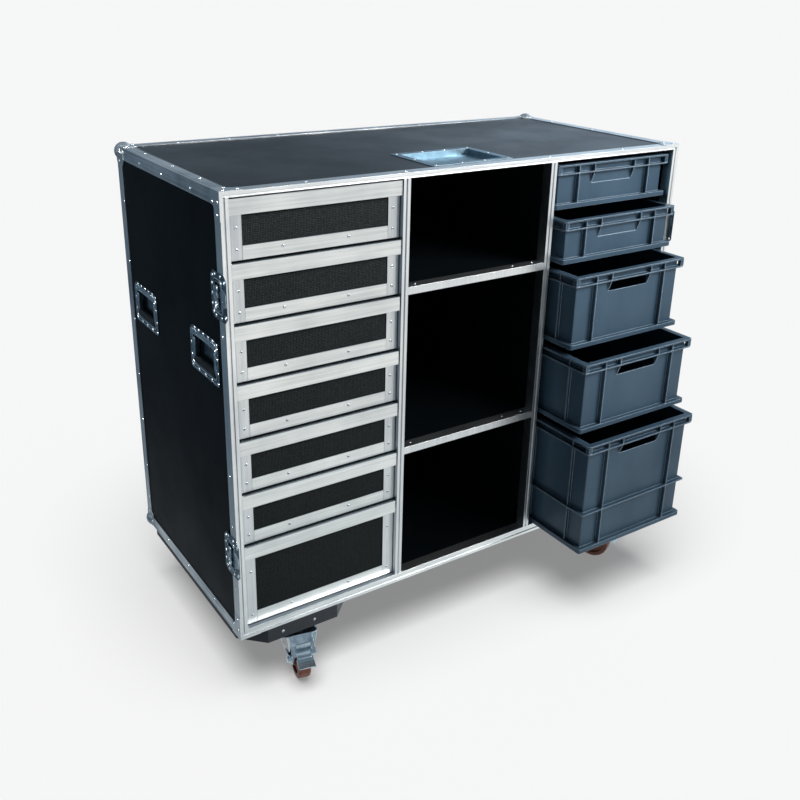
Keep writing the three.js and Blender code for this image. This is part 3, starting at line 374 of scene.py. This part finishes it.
# The look of each CAD node but the drawer boxes, by the start of its name. The first that fits is taken.
LOOKS = (
    ("top_panel", lit_top_look), ("left_side_panel", shaded_panel_look), ("right_side_panel", shaded_panel_look),
    ("back_panel", shaded_panel_look), ("bottom_panel", inner_look), ("left_divider", inner_look),
    ("right_divider", inner_look), ("lower_shelf", inner_look), ("upper_shelf", inner_look),
    ("front_frame", front_rim_look), ("bay_frame", bay_rim_look), ("edge_frame", edge_look),
    ("top_dish", top_dish_zinc), ("drawer", lip_look), ("bin", bin_plastic()),
    ("handle_bail", grip_rubber()), ("castor_board", board_look), ("castor_wheel", wheel_tread()),
    ("handle_dish", painted_shade_zinc), ("latch_dish", painted_shade_zinc), ("castor_fork", fork_zinc_painted_shade), ("", zinc),
)
for name, node in frame["nodes"].items():
    fitting = [look for start, look in LOOKS if name.startswith(start)]
    for slot in node.material_slots:
        slot.link = "OBJECT"
        slot.material = front_look if name.endswith("_box") else fitting[0]

# Ways to build pieces


def piece(name, bm, body, materials, outward=False):
    """A mesh object from bm, smooth where its faces say so, riding on a body."""
    if outward:
        bmesh.ops.recalc_face_normals(bm, faces=bm.faces)
    mesh = bpy.data.meshes.new(name)
    bm.normal_update()
    bm.to_mesh(mesh)
    bm.free()
    obj = bpy.data.objects.new(name, mesh)
    bpy.context.scene.collection.objects.link(obj)
    for material in materials:
        mesh.materials.append(material)
    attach(obj, body)
    return obj


def circle(radius, steps):
    """Points of (u, v) round a circle."""
    angles = (2 * math.pi * k / steps for k in range(steps))
    return [(radius * math.cos(angle), radius * math.sin(angle)) for angle in angles]


def add_turned(bm, centre, normal, profile, steps=12, inner=None):
    """Rings of (radius, height), in millimetres, round the normal at a point in metres.

    Faces from the ring with number inner on take the second material.
    """
    turn = Vector(UPWARD).rotation_difference(Vector(normal).normalized()).to_matrix()
    rings = []
    for radius, height in profile:
        spots = circle(radius, steps) if radius > 0 else [(0, 0)]
        rings.append([bm.verts.new(centre + turn @ Vector((u, v, height)) * MM) for u, v in spots])
    for k, (low, high) in enumerate(zip(rings, rings[1:])):
        for i in range(steps):
            j = (i + 1) % steps
            if len(low) == 1:
                face = bm.faces.new((low[0], high[j], high[i]))
            elif len(high) == 1:
                face = bm.faces.new((low[i], low[j], high[0]))
            else:
                face = bm.faces.new((low[i], low[j], high[j], high[i]))
            face.smooth = True
            if inner is not None and k >= inner:
                face.material_index = 1


def add_prism(bm, outline, low, high, place):
    """A prism of an outline of (u, v) between two heights w, where place(u, v, w) gives metres."""
    bottom = [bm.verts.new(place(u, v, low)) for u, v in outline]
    top = [bm.verts.new(place(u, v, high)) for u, v in outline]
    bm.faces.new(list(reversed(bottom)))
    bm.faces.new(top)
    for i in range(len(outline)):
        j = (i + 1) % len(outline)
        bm.faces.new((bottom[i], bottom[j], top[j], top[i]))


def add_tube(bm, points, radius, closed=False, steps=8):
    """A round bead, with its radius in millimetres, along points in metres."""
    count = len(points)
    rings = []
    side = None
    for i, point in enumerate(points):
        before = points[i - 1] if closed or i > 0 else points[i]
        after = points[(i + 1) % count] if closed or i < count - 1 else points[i]
        ahead = (after - before).normalized()
        if side is None:
            side = ahead.orthogonal().normalized()
        side = (side - ahead * side.dot(ahead)).normalized()
        other = ahead.cross(side)
        rings.append([bm.verts.new(point + (side * u + other * v) * MM) for u, v in circle(radius, steps)])
    pairs = list(zip(rings, rings[1:])) + ([(rings[-1], rings[0])] if closed else [])
    for low, high in pairs:
        for i in range(steps):
            j = (i + 1) % steps
            bm.faces.new((low[i], low[j], high[j], high[i])).smooth = True
    if not closed:
        bm.faces.new(list(reversed(rings[0])))
        bm.faces.new(rings[-1])


def rounded(u0, u1, v0, v1, radius, steps=4):
    """The outline of a rectangle with rounded corners."""
    points = []
    for cu, cv, start in ((u1 - radius, v1 - radius, 0), (u0 + radius, v1 - radius, 90),
                          (u0 + radius, v0 + radius, 180), (u1 - radius, v0 + radius, 270)):
        for k in range(steps + 1):
            angle = math.radians(start + 90 * k / steps)
            points.append((cu + radius * math.cos(angle), cv + radius * math.sin(angle)))
    return points


# Section of a blind rivet's head as (radius, height), and the ring where its hole, painted dark as shade,
# starts
RIVET = [(4.2, -0.3), (4.1, 0.35), (3.4, 1.1), (2.4, 1.5), (1.7, 1.5), (1.4, 0.8), (0, 0.7)]
PAINTED_SHADE_FROM = 4


def rivets(name, spots, body, scale=1.0):
    """Blind rivet heads at (point in metres, normal)."""
    profile = [(radius * scale, height * scale) for radius, height in RIVET]
    bm = bmesh.new()
    for point, normal in spots:
        add_turned(bm, Vector(point), normal, profile, inner=PAINTED_SHADE_FROM)
    return piece(name, bm, body, [rivet_metal, hole_painted_shade])


# Drawers: two side strips, a bottom strip between them and a pull profile over the top

DRAWER_COUNT = 7
DRAWER_PITCH = 134.8
DRAWER_TALL = 130.8
DRAWER_TOP_GAP = 3.4
DRAWER_LOW_GAP = 2
DRAWER_SIDE_GAP = 1.5
LEFT = POST + DRAWER_SIDE_GAP
RIGHT = POST + BAY - DRAWER_SIDE_GAP

BOARD_FACE = 14.7
SHEET_FACE = 13.2
STRIP = 30
STRIP_SHORT = 1.0
FOOT_GAP = 0.4
# A side strip has a fine step near its outer edge: (across, out of the board)
STRIP_SECTION = [(0, 0), (STRIP, 0), (STRIP, 1.5), (6.4, 1.5), (5.8, 1.0), (5.0, 1.0), (4.4, 1.6), (0, 1.6)]
# The bottom strip: (up from the drawer's foot, out of the board)
FOOT_SECTION = [(0, 0), (0, 1.5), (STRIP - 0.6, 1.5), (STRIP, 0.9), (STRIP, 0)]
# The pull has a ledge over the board's edge and a lip that hangs before it: (setback, down from the top)
PULL_SECTION = [(BOARD_FACE, 0), (3.6, 0), (3.0, 0.6), (3.0, 33.4), (3.6, 34), (4.5, 34), (4.5, 1.5),
                (SHEET_FACE, 1.5), (SHEET_FACE, 14), (BOARD_FACE, 14)]

SIDE_RIVET_INSET = 17.5
SIDE_RIVET_RISE = 22
SIDE_RIVET_DROP, TALL_SIDE_RIVET_DROP = 62, 75
TALL_FROM = 150
FOOT_RIVET_INSETS = (122, 132)
FOOT_RIVET_RISE = 18


def make_drawer(name, low, top):
    strips = bmesh.new()
    for edge, way in ((LEFT, 1), (RIGHT, -1)):
        section = [(edge + way * u, v) for u, v in STRIP_SECTION]
        add_prism(strips, section, low, top - STRIP_SHORT, lambda u, v, w: at(u, BOARD_FACE - v, w))
    side = piece(f"{name}_side_strips", strips, name, [strip_look], outward=True)
    plates = bmesh.new()
    foot_end = STRIP + FOOT_GAP
    foot = [(low + u, v) for u, v in FOOT_SECTION]
    add_prism(plates, foot, LEFT + foot_end, RIGHT - foot_end, lambda u, v, w: at(w, BOARD_FACE - v, u))
    pull = [(setback, top - drop) for setback, drop in PULL_SECTION]
    add_prism(plates, pull, LEFT, RIGHT, lambda u, v, w: at(w, u, v))
    plate = piece(f"{name}_pull_and_foot", plates, name, [lip_look], outward=True)
    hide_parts(f"{name}_trim")
    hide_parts(f"{name}_trim")
    side_drop = SIDE_RIVET_DROP if top - low < TALL_FROM else TALL_SIDE_RIVET_DROP
    spots = [(x, z) for x in (LEFT + SIDE_RIVET_INSET, RIGHT - SIDE_RIVET_INSET)
             for z in (low + SIDE_RIVET_RISE, top - side_drop)]
    spots += [(x, low + FOOT_RIVET_RISE) for x in (LEFT + FOOT_RIVET_INSETS[0], RIGHT - FOOT_RIVET_INSETS[1])]
    rivets(f"{name}_rivets", [(at(x, SHEET_FACE, z), FRONTWARD) for x, z in spots], name, scale=0.9)


for i in range(DRAWER_COUNT):
    top = OPEN_HIGH - DRAWER_TOP_GAP - i * DRAWER_PITCH
    low = OPEN_LOW + DRAWER_LOW_GAP if i == DRAWER_COUNT - 1 else top - DRAWER_TALL
    make_drawer(f"drawer_{i + 1}", low, top)

# Rivets of the case's edges, braces, ball corners and shelf caps, as (x, y, z, normal)


def both_sides(spots):
    """Points in metres and normals of these spots on the left half and their mirror images at the right."""
    mirrored = [(WIDTH - x, y, z, (-n[0], n[1], n[2])) for x, y, z, n in spots]
    return [(at(x, y, z), n) for x, y, z, n in spots + mirrored]


EDGE_LINE = 20
BACK_LINE = 22
REAR_SIDE_LINE, REAR_TOP_LINE = 603, 606
FRONT_TOP_LINE = 16
edge_spots = []
for y in (468, 325, 154):
    edge_spots += [(0, y, HEIGHT - EDGE_LINE, LEFTWARD), (0, y, EDGE_LINE, LEFTWARD)]
for z in (934, 779, 622, 466, 332, 190, 90):
    edge_spots += [(0, REAR_SIDE_LINE, z, LEFTWARD), (BACK_LINE, DEPTH, z, BACKWARD)]
edge_spots += [(BACK_LINE, y, HEIGHT, UPWARD) for y in (483, 309, 152)]
edge_spots += [(0, EDGE_LINE, z, LEFTWARD) for z in (880, 760, 430, 300, 130)]
for x in (150, 290, 430, 580):
    edge_spots += [(x, REAR_TOP_LINE, HEIGHT, UPWARD), (x, DEPTH, HEIGHT - EDGE_LINE, BACKWARD),
                   (x, DEPTH, EDGE_LINE, BACKWARD)]
edge_spots += [(x, FRONT_TOP_LINE, HEIGHT, UPWARD) for x in (200, 450)]
rivets("edge_rivets", both_sides(edge_spots), "case", scale=0.95)

LEAF = 1.2
brace_spots = [(-LEAF, y, z, LEFTWARD)
               for y, z in ((36, 1044), (15, 1020), (11, 1047), (37, 25), (15, 49), (11, 22))]
brace_spots += [(x, y, HEIGHT + LEAF, UPWARD) for x, y in ((23, 35), (44, 14), (12, 12))]
rivets("brace_rivets", both_sides(brace_spots), "case")

NEAR_SPOT, FAR_SPOT = 14, 36
leaf_spots = []
for z, up in ((HEIGHT, 1), (0, -1)):
    near, far = z - up * NEAR_SPOT, z - up * FAR_SPOT
    leaf_spots += [(-LEAF, DEPTH - FAR_SPOT, near, LEFTWARD), (-LEAF, DEPTH - NEAR_SPOT, far, LEFTWARD),
                   (FAR_SPOT, DEPTH + LEAF, near, BACKWARD), (NEAR_SPOT, DEPTH + LEAF, far, BACKWARD)]
leaf_spots += [(FAR_SPOT, DEPTH - NEAR_SPOT, HEIGHT + LEAF, UPWARD),
               (NEAR_SPOT, DEPTH - FAR_SPOT, HEIGHT + LEAF, UPWARD)]
rivets("ball_corner_rivets", both_sides(leaf_spots), "case")

SHELF_HEIGHTS = (370, 785)
SHELF = 18.6
CAP_LINE = 18
SHELF_LEFT = 2 * POST + BAY
SHELF_RIGHT = SHELF_LEFT + BAY
cap_spots = [(at(x, CAP_LINE, z + SHELF), UPWARD)
             for z in SHELF_HEIGHTS for x in (SHELF_LEFT + 30, SHELF_RIGHT - 28, SHELF_RIGHT - 92)]
rivets("shelf_cap_rivets", cap_spots, "case", scale=0.8)

# Recessed handles. Their tables hold (u to the back, v up) from the middle of the fitting.

HANDLE_HEIGHT = 684
HANDLE_SETBACKS = {"front": 128, "rear": 500}
HANDLE_FACE = 0.3
HANDLE_RIM = (130, 74)
HANDLE_RIM_DROP = 3
HANDLE_RIM_ROUND = 9
# Two beads round the pan: (outset from its rim, radius)
HANDLE_BEADS = ((0, 1.5), (9, 0.8))
KNUCKLES = (-58, -42, 42, 58)
KNUCKLE_HALF, KNUCKLE_SPAN, KNUCKLE_ROUND, KNUCKLE_OUT = 6, (33, 47), 3, 3.4
BAND_HALF, BAND_SPAN, BAND_ROUND, BAND_OUT = 66, (36.5, 44.0), 2, 1.6
HANDLE_RIVETS = [
    (-71, 45), (-50, 48.5), (-26, 48.5), (0, 48.5), (26, 48.5), (50, 48.5), (68, 40), (-72, 12),
    (-72, -20), (72, 8), (72, -22), (-70, -46), (-36, -47.5), (0, -47.5), (36, -47.5), (70, -46)]
ARM_SPREAD = 57.5
ARM_TOP, ARM_LONG = 24, 52
ARM_DEPTH, ARM_BOW = -1.9, 0.6
ARM_RADIUS = 3.0
ARM_PARTS = 6
BEAD_OUT = 0.2


def side_place(side, setback, height, face):
    """Places (u to the back, v up, w out of the side face) of a fitting on a side, in metres."""
    if side == "left":
        return lambda u, v, w: at(face - w, setback + u, height + v)
    return lambda u, v, w: at(WIDTH - face + w, setback + u, height + v)


def make_handle(side, end, setback):
    place = side_place(side, setback, HANDLE_HEIGHT, HANDLE_FACE)
    normal = LEFTWARD if side == "left" else RIGHTWARD
    wide, tall = HANDLE_RIM
    bm = bmesh.new()
    for outset, radius in HANDLE_BEADS:
        half_u, half_v = wide / 2 + outset, tall / 2 + outset
        corner = HANDLE_RIM_ROUND + outset / 2
        ring = rounded(-half_u, half_u, -HANDLE_RIM_DROP - half_v, -HANDLE_RIM_DROP + half_v, corner)
        add_tube(bm, [place(u, v, BEAD_OUT) for u, v in ring], radius, closed=True)
    # hinge band above the pan, with the knuckles that are pressed over the bail's pins
    for u in KNUCKLES:
        knuckle = rounded(u - KNUCKLE_HALF, u + KNUCKLE_HALF, *KNUCKLE_SPAN, KNUCKLE_ROUND, steps=2)
        add_prism(bm, knuckle, 0.0, KNUCKLE_OUT, place)
    band = rounded(-BAND_HALF, BAND_HALF, *BAND_SPAN, BAND_ROUND, steps=2)
    add_prism(bm, band, 0.0, BAND_OUT, place)
    piece(f"handle_rim_{side}_{end}", bm, "case", [zinc], outward=True)
    rivets(f"handle_rivets_{side}_{end}", [(place(u, v, 0), normal) for u, v in HANDLE_RIVETS], "case")
    # bail arms in bright steel beside the black grip
    arms = bmesh.new()
    shares = [k / ARM_PARTS for k in range(ARM_PARTS + 1)]
    for u in (-ARM_SPREAD, ARM_SPREAD):
        points = [place(u, ARM_TOP - ARM_LONG * share, ARM_DEPTH + ARM_BOW * math.sin(math.pi * share))
                  for share in shares]
        add_tube(arms, points, ARM_RADIUS, steps=10)
    piece(f"bail_arms_{side}_{end}", arms, f"bail_{side}_{end}", [zinc])


for side in ("left", "right"):
    for end, setback in HANDLE_SETBACKS.items():
        make_handle(side, end, setback)

# Butterfly latches

LATCH_SETBACK = 29
LATCH_FACE = -1.5
LATCH_RISE = 221
LATCH_BEADS = ((20.5, 36.5, 1.3), (15.5, 31, 0.8))
LATCH_ROUND = 7
EYE_PLACES = ((-36, -37.5), (-36, 37.5))
EYE_SECTION = [(5.2, -0.2), (5.2, 0.8), (4.2, 1.5), (3.2, 1.2), (3.0, 0.1)]
HOOK_OUTLINE = [(-42, -14), (-27, -20), (-23, -20), (-23, 20), (-27, 20), (-42, 14)]
HOOK_OUT = 1.6
LATCH_RIVETS = [
    (26, -40), (26, 40), (29, 0), (29, -22), (29, 22), (-14, 45), (14, 45), (-14, -45), (14, -45)]
WING_WIDE, WING_LONG, WING_OUT, WING_BEAD = 6.5, 12, 3.4, 1.1
WING_PARTS = 8
HUB_OUT = 3.0
HUB_SECTION = [(7.6, 0), (7.2, 1.6), (5.2, 2.6), (2.6, 2.9), (0, 2.9)]


def make_latch(side, end, height):
    place = side_place(side, LATCH_SETBACK, height, LATCH_FACE)
    normal = LEFTWARD if side == "left" else RIGHTWARD
    bm = bmesh.new()
    for half_u, half_v, radius in LATCH_BEADS:
        ring = rounded(-half_u, half_u, -half_v, half_v, LATCH_ROUND)
        add_tube(bm, [place(u, v, BEAD_OUT) for u, v in ring], radius, closed=True)
    for u, v in EYE_PLACES:
        add_turned(bm, place(u, v, 0), normal, EYE_SECTION, steps=16)
    # hook plate that reaches forward over the rim
    add_prism(bm, HOOK_OUTLINE, 0.0, HOOK_OUT, place)
    piece(f"latch_rim_{side}_{end}", bm, "case", [zinc], outward=True)
    spots = [(place(u, v, 0), normal) for u, v in LATCH_RIVETS]
    rivets(f"latch_rivets_{side}_{end}", spots, "case", scale=0.9)
    # turned-up grips of the wing, and its hub
    wing = bmesh.new()
    for way in (-1, 1):
        angles = [math.pi * (k / WING_PARTS - 0.5) for k in range(WING_PARTS + 1)]
        grip = [place(WING_WIDE * math.sin(a), way * WING_LONG * (1 + math.cos(a)), WING_OUT) for a in angles]
        add_tube(wing, grip, WING_BEAD)
    add_turned(wing, place(0, 0, HUB_OUT), normal, HUB_SECTION, steps=20)
    piece(f"latch_wing_edge_{side}_{end}", wing, f"latch_{side}_{end}", [zinc])


for side in ("left", "right"):
    for end, height in (("lower", LATCH_RISE), ("upper", HEIGHT - LATCH_RISE)):
        make_latch(side, end, height)

# Rivets of the shallow dish in the top

DISH_FACE = HEIGHT - 0.3
DISH_SPOTS = [(x, y) for y in (50, 214) for x in (555, 631, 698, 770)] + [(552, 132), (773, 132)]
rivets("dish_rivets", [(at(x, y, DISH_FACE), UPWARD) for x, y in DISH_SPOTS], "case", scale=0.95)

# Castors: nuts of the axles and bolts of the top plates

BOARD_DROP = 38.0
CASTOR_INSET = 168
CASTOR_SETBACKS = {"front": 48, "rear": 602 - 48}
CASTOR_HEADINGS = {"front_left": -13, "front_right": 24, "rear_left": -35, "rear_right": 15}
CASTOR_TRAIL = 43
AXLE_DROP = 84
FORK_HALF = 22.5
WASHER_RADIUS, WASHER_TALL = 11, 1.3
NUT_RADIUS, NUT_SPAN = 9.2, (1.2, 8.0)
PLATE_UNDERSIDE = -41
PLATE_BOLTS = [(u, v) for u in (-42, 42) for v in (-30, 30)]
BOLT_RADIUS, BOLT_TALL = 6.5, 5.0


def make_castor(side, end):
    x = CASTOR_INSET if side == "left" else WIDTH - CASTOR_INSET
    y = CASTOR_SETBACKS[end]
    turn = Matrix.Rotation(math.radians(CASTOR_HEADINGS[f"{end}_{side}"]), 3, "Z")
    nuts = bmesh.new()
    for way in (-1, 1):
        def beside_fork(u, v, w, way=way):
            spot = turn @ Vector((way * (FORK_HALF + w), u - CASTOR_TRAIL, 0))
            return at(x + spot.x, y + spot.y, v - AXLE_DROP - BOARD_DROP)
        add_prism(nuts, circle(NUT_RADIUS, 6), *NUT_SPAN, beside_fork)
        add_prism(nuts, circle(WASHER_RADIUS, 16), 0.0, WASHER_TALL, beside_fork)
    piece(f"castor_nuts_{end}_{side}", nuts, f"castor_{end}_{side}", [zinc], outward=True)
    bolts = bmesh.new()
    for du, dv in PLATE_BOLTS:
        def under_plate(u, v, w, du=du, dv=dv):
            return at(x + du + u, y + dv + v, PLATE_UNDERSIDE - w)
        add_prism(bolts, circle(BOLT_RADIUS, 6), 0.0, BOLT_TALL, under_plate)
    piece(f"castor_plate_bolts_{end}_{side}", bolts, "case", [zinc], outward=True)


for side in ("left", "right"):
    for end in CASTOR_SETBACKS:
        make_castor(side, end)

SCREW_SPOTS = [(x, -0.1, -19, FRONTWARD) for x in (110.5, 197.5)]
rivets("castor_board_screws", both_sides(SCREW_SPOTS), "case", scale=0.9)

# World and floor

# Each is a colour, then X of the directions where the dark left ends and the bright right starts, and
# the strength at each
WORLD_LIGHTING = ((0.74, 0.9, 1.0, 1.0), (-0.2, 0.8, 0.008, 0.34))
WORLD_MIRRORED = ((0.64, 0.82, 1.0, 1.0), (0.46, 0.72, 0.34, 1.0))
WHITE = (1.0, 1.0, 1.0, 1.0)
BACKDROP = 0.913
FLOOR_HALF = 300.0
FLOOR_BOUNCE = 0.2
FLOOR_PAPER = 0.2
FLOOR_GLOW = 0.25
# What metal sees of the floor: close in front, darkened as a painted shadow of the case, further off, and at
# the dark left
FLOOR_NEAR_PAINTED_SHADOW = (0.76, 0.82, 0.84, 1.0)
FLOOR_FAR = (0.95, 0.96, 0.95, 1.0)
FLOOR_LEFT = (0.088, 0.132, 0.176, 1.0)
NEAR_TO_FAR_Y = (-0.35, -2.2)
LEFT_TO_FRONT_X = (-1.1, -0.3)


def make_world():
    """Pale backdrop. Light and reflections come from the right, and the left is flagged dark."""
    world = bpy.data.worlds.new("studio")
    bpy.context.scene.world = world
    world.use_nodes = True
    tree = Tree(world.node_tree)
    tree.nodes.clear()
    across = tree.axis(tree.nodes.new("ShaderNodeTexCoord").outputs["Generated"], "X")

    def background(color, strength):
        return tree.node("ShaderNodeBackground", {"Color": color, "Strength": strength}).outputs["Background"]

    lighting, mirrored = (
        background(color, tree.remap(across, *span, interpolation="SMOOTHSTEP"))
        for color, span in (WORLD_LIGHTING, WORLD_MIRRORED))
    path = tree.nodes.new("ShaderNodeLightPath")
    lit = tree.mix_shader(path.outputs["Is Glossy Ray"], lighting, mirrored)
    seen = tree.mix_shader(tree.seen_ray(path), lit, background(WHITE, BACKDROP))
    tree.node("ShaderNodeOutputWorld", {"Surface": seen})


def make_floor():
    bm = bmesh.new()
    bmesh.ops.create_grid(bm, x_segments=4, y_segments=4, size=FLOOR_HALF)
    mesh = bpy.data.meshes.new("studio_floor")
    bm.to_mesh(mesh)
    bm.free()
    floor = bpy.data.objects.new("studio_floor", mesh)
    bpy.context.scene.collection.objects.link(floor)
    material = bpy.data.materials.new("floor_paper")
    material.use_nodes = True
    mesh.materials.append(material)
    tree = Tree(material.node_tree)
    tree.nodes.clear()

    def diffuse(value):
        return tree.node("ShaderNodeBsdfDiffuse", {"Color": (value, value, value, 1.0)}).outputs["BSDF"]

    def emission(color):
        return tree.node("ShaderNodeEmission", {"Color": color, "Strength": 1.0}).outputs["Emission"]

    glow = emission((FLOOR_GLOW, FLOOR_GLOW, FLOOR_GLOW, 1.0))
    seen = tree.node("ShaderNodeAddShader", {0: diffuse(FLOOR_PAPER), 1: glow}).outputs["Shader"]
    place = tree.nodes.new("ShaderNodeTexCoord").outputs["Object"]

    def toward(axis, span):
        """0 where a coordinate is at the first end, 1 where it is at the other, with a soft step between."""
        return tree.remap(tree.axis(place, axis), *span, 0.0, 1.0, interpolation="SMOOTHSTEP")

    # Painted shadow: metal sees the floor darker close in front of the case.
    front = tree.blend(toward("Y", NEAR_TO_FAR_Y), FLOOR_NEAR_PAINTED_SHADOW, FLOOR_FAR)
    mirrored = emission(tree.blend(toward("X", LEFT_TO_FRONT_X), FLOOR_LEFT, front))
    path = tree.nodes.new("ShaderNodeLightPath")
    unseen = tree.mix_shader(path.outputs["Is Glossy Ray"], diffuse(FLOOR_BOUNCE), mirrored)
    surface = tree.mix_shader(tree.seen_ray(path), unseen, seen)
    tree.node("ShaderNodeOutputMaterial", {"Surface": surface})
    return floor


# Lamps. A lamp that lights only some objects has a collection of them.


def linked(name, objects, state):
    """A collection that lets a lamp light these objects alone, or all but these."""
    collection = bpy.data.collections.new(name)
    for obj in objects:
        collection.objects.link(obj)
    for entry in collection.collection_objects:
        entry.light_linking.link_state = state
    return collection


def make_area(name, place, target, size, power, spread, objects, state):
    """A soft box, in metres, watts and degrees, that lights only these objects, or all but these."""
    lamp = bpy.data.lights.new(name, "AREA")
    lamp.shape = "RECTANGLE"
    lamp.size, lamp.size_y = size
    lamp.energy = power
    lamp.spread = math.radians(spread)
    box = bpy.data.objects.new(name, lamp)
    box.location = place
    box.rotation_euler = (Vector(target) - Vector(place)).to_track_quat("-Z", "Y").to_euler()
    bpy.context.scene.collection.objects.link(box)
    box.light_linking.receiver_collection = linked(f"{name}_objects", objects, state)


def make_sun(name, azimuth, elevation, strength, spread):
    """A sun that shines from this azimuth (0 is the front, 90 the right) and elevation, in degrees."""
    lamp = bpy.data.lights.new(name, "SUN")
    lamp.energy = strength
    lamp.angle = math.radians(spread)
    sun = bpy.data.objects.new(name, lamp)
    a, e = math.radians(azimuth), math.radians(elevation)
    source = Vector((math.sin(a) * math.cos(e), -math.cos(a) * math.cos(e), math.sin(e)))
    sun.rotation_euler = source.to_track_quat("Z", "Y").to_euler()
    bpy.context.scene.collection.objects.link(sun)
    return sun


# The photograph's camera, fitted to the case's corners
IMAGE = 800.0
FOCAL_PIXELS = 938.75
SHIFT_DOWN_PIXELS = 50.0
SENSOR = 36.0
FAR_CLIP = 1000.0
CAMERA_PLACE = (-1382.1, -1928.8, 1631.0)
CAMERA_YAW, CAMERA_PITCH, CAMERA_ROLL = 34.091, 21.396, 1.329


def make_camera():
    data = bpy.data.cameras.new("camera")
    data.sensor_width = SENSOR
    data.lens = FOCAL_PIXELS / IMAGE * SENSOR
    data.shift_y = -SHIFT_DOWN_PIXELS / IMAGE
    data.clip_end = FAR_CLIP
    camera = bpy.data.objects.new("camera", data)
    yaw, pitch, roll = (math.radians(value) for value in (CAMERA_YAW, CAMERA_PITCH, CAMERA_ROLL))
    ahead = Vector((math.sin(yaw) * math.cos(pitch), math.cos(yaw) * math.cos(pitch), -math.sin(pitch)))
    side = Vector((math.cos(yaw), -math.sin(yaw), 0.0))
    above = side.cross(ahead)
    right = side * math.cos(roll) + above * math.sin(roll)
    up = above * math.cos(roll) - side * math.sin(roll)
    turn = Matrix((right, up, -ahead)).transposed().to_4x4()
    camera.matrix_world = Matrix.Translation(Vector(CAMERA_PLACE) * MM) @ turn
    bpy.context.scene.collection.objects.link(camera)
    bpy.context.scene.camera = camera


make_world()
floor = make_floor()
plates = [obj for obj in bpy.data.objects if obj.name.endswith(("_side_strips", "_pull_and_foot"))]
make_area(
    "key", place=(1.35, -1.95, 2.45), target=(-0.15, -0.1, 1.45), size=(1.5, 1.1), power=30.0, spread=90,
    objects=[floor, *plates], state="EXCLUDE")
HARDWARE = (
    "handle_dish", "handle_ri", "latch", "castor_fork", "castor_nuts", "brake",
    "edge_", "brace_", "ball_corner")
hardware = [obj for obj in bpy.data.objects if obj.type == "MESH" and obj.name.startswith(HARDWARE)]
make_area(
    "glint", place=(-2.3, -1.5, 2.3), target=(-0.66, 0.0, 0.8), size=(0.4, 0.4), power=60.0, spread=120,
    objects=hardware, state="INCLUDE")
make_sun("top", azimuth=20, elevation=78, strength=0.18, spread=120)
overhead = make_sun("overhead", azimuth=-35, elevation=75, strength=10.5, spread=46)
overhead.light_linking.receiver_collection = linked("floor_light", [floor], "INCLUDE")
make_camera()
bpy.context.scene.view_settings.view_transform = "Standard"
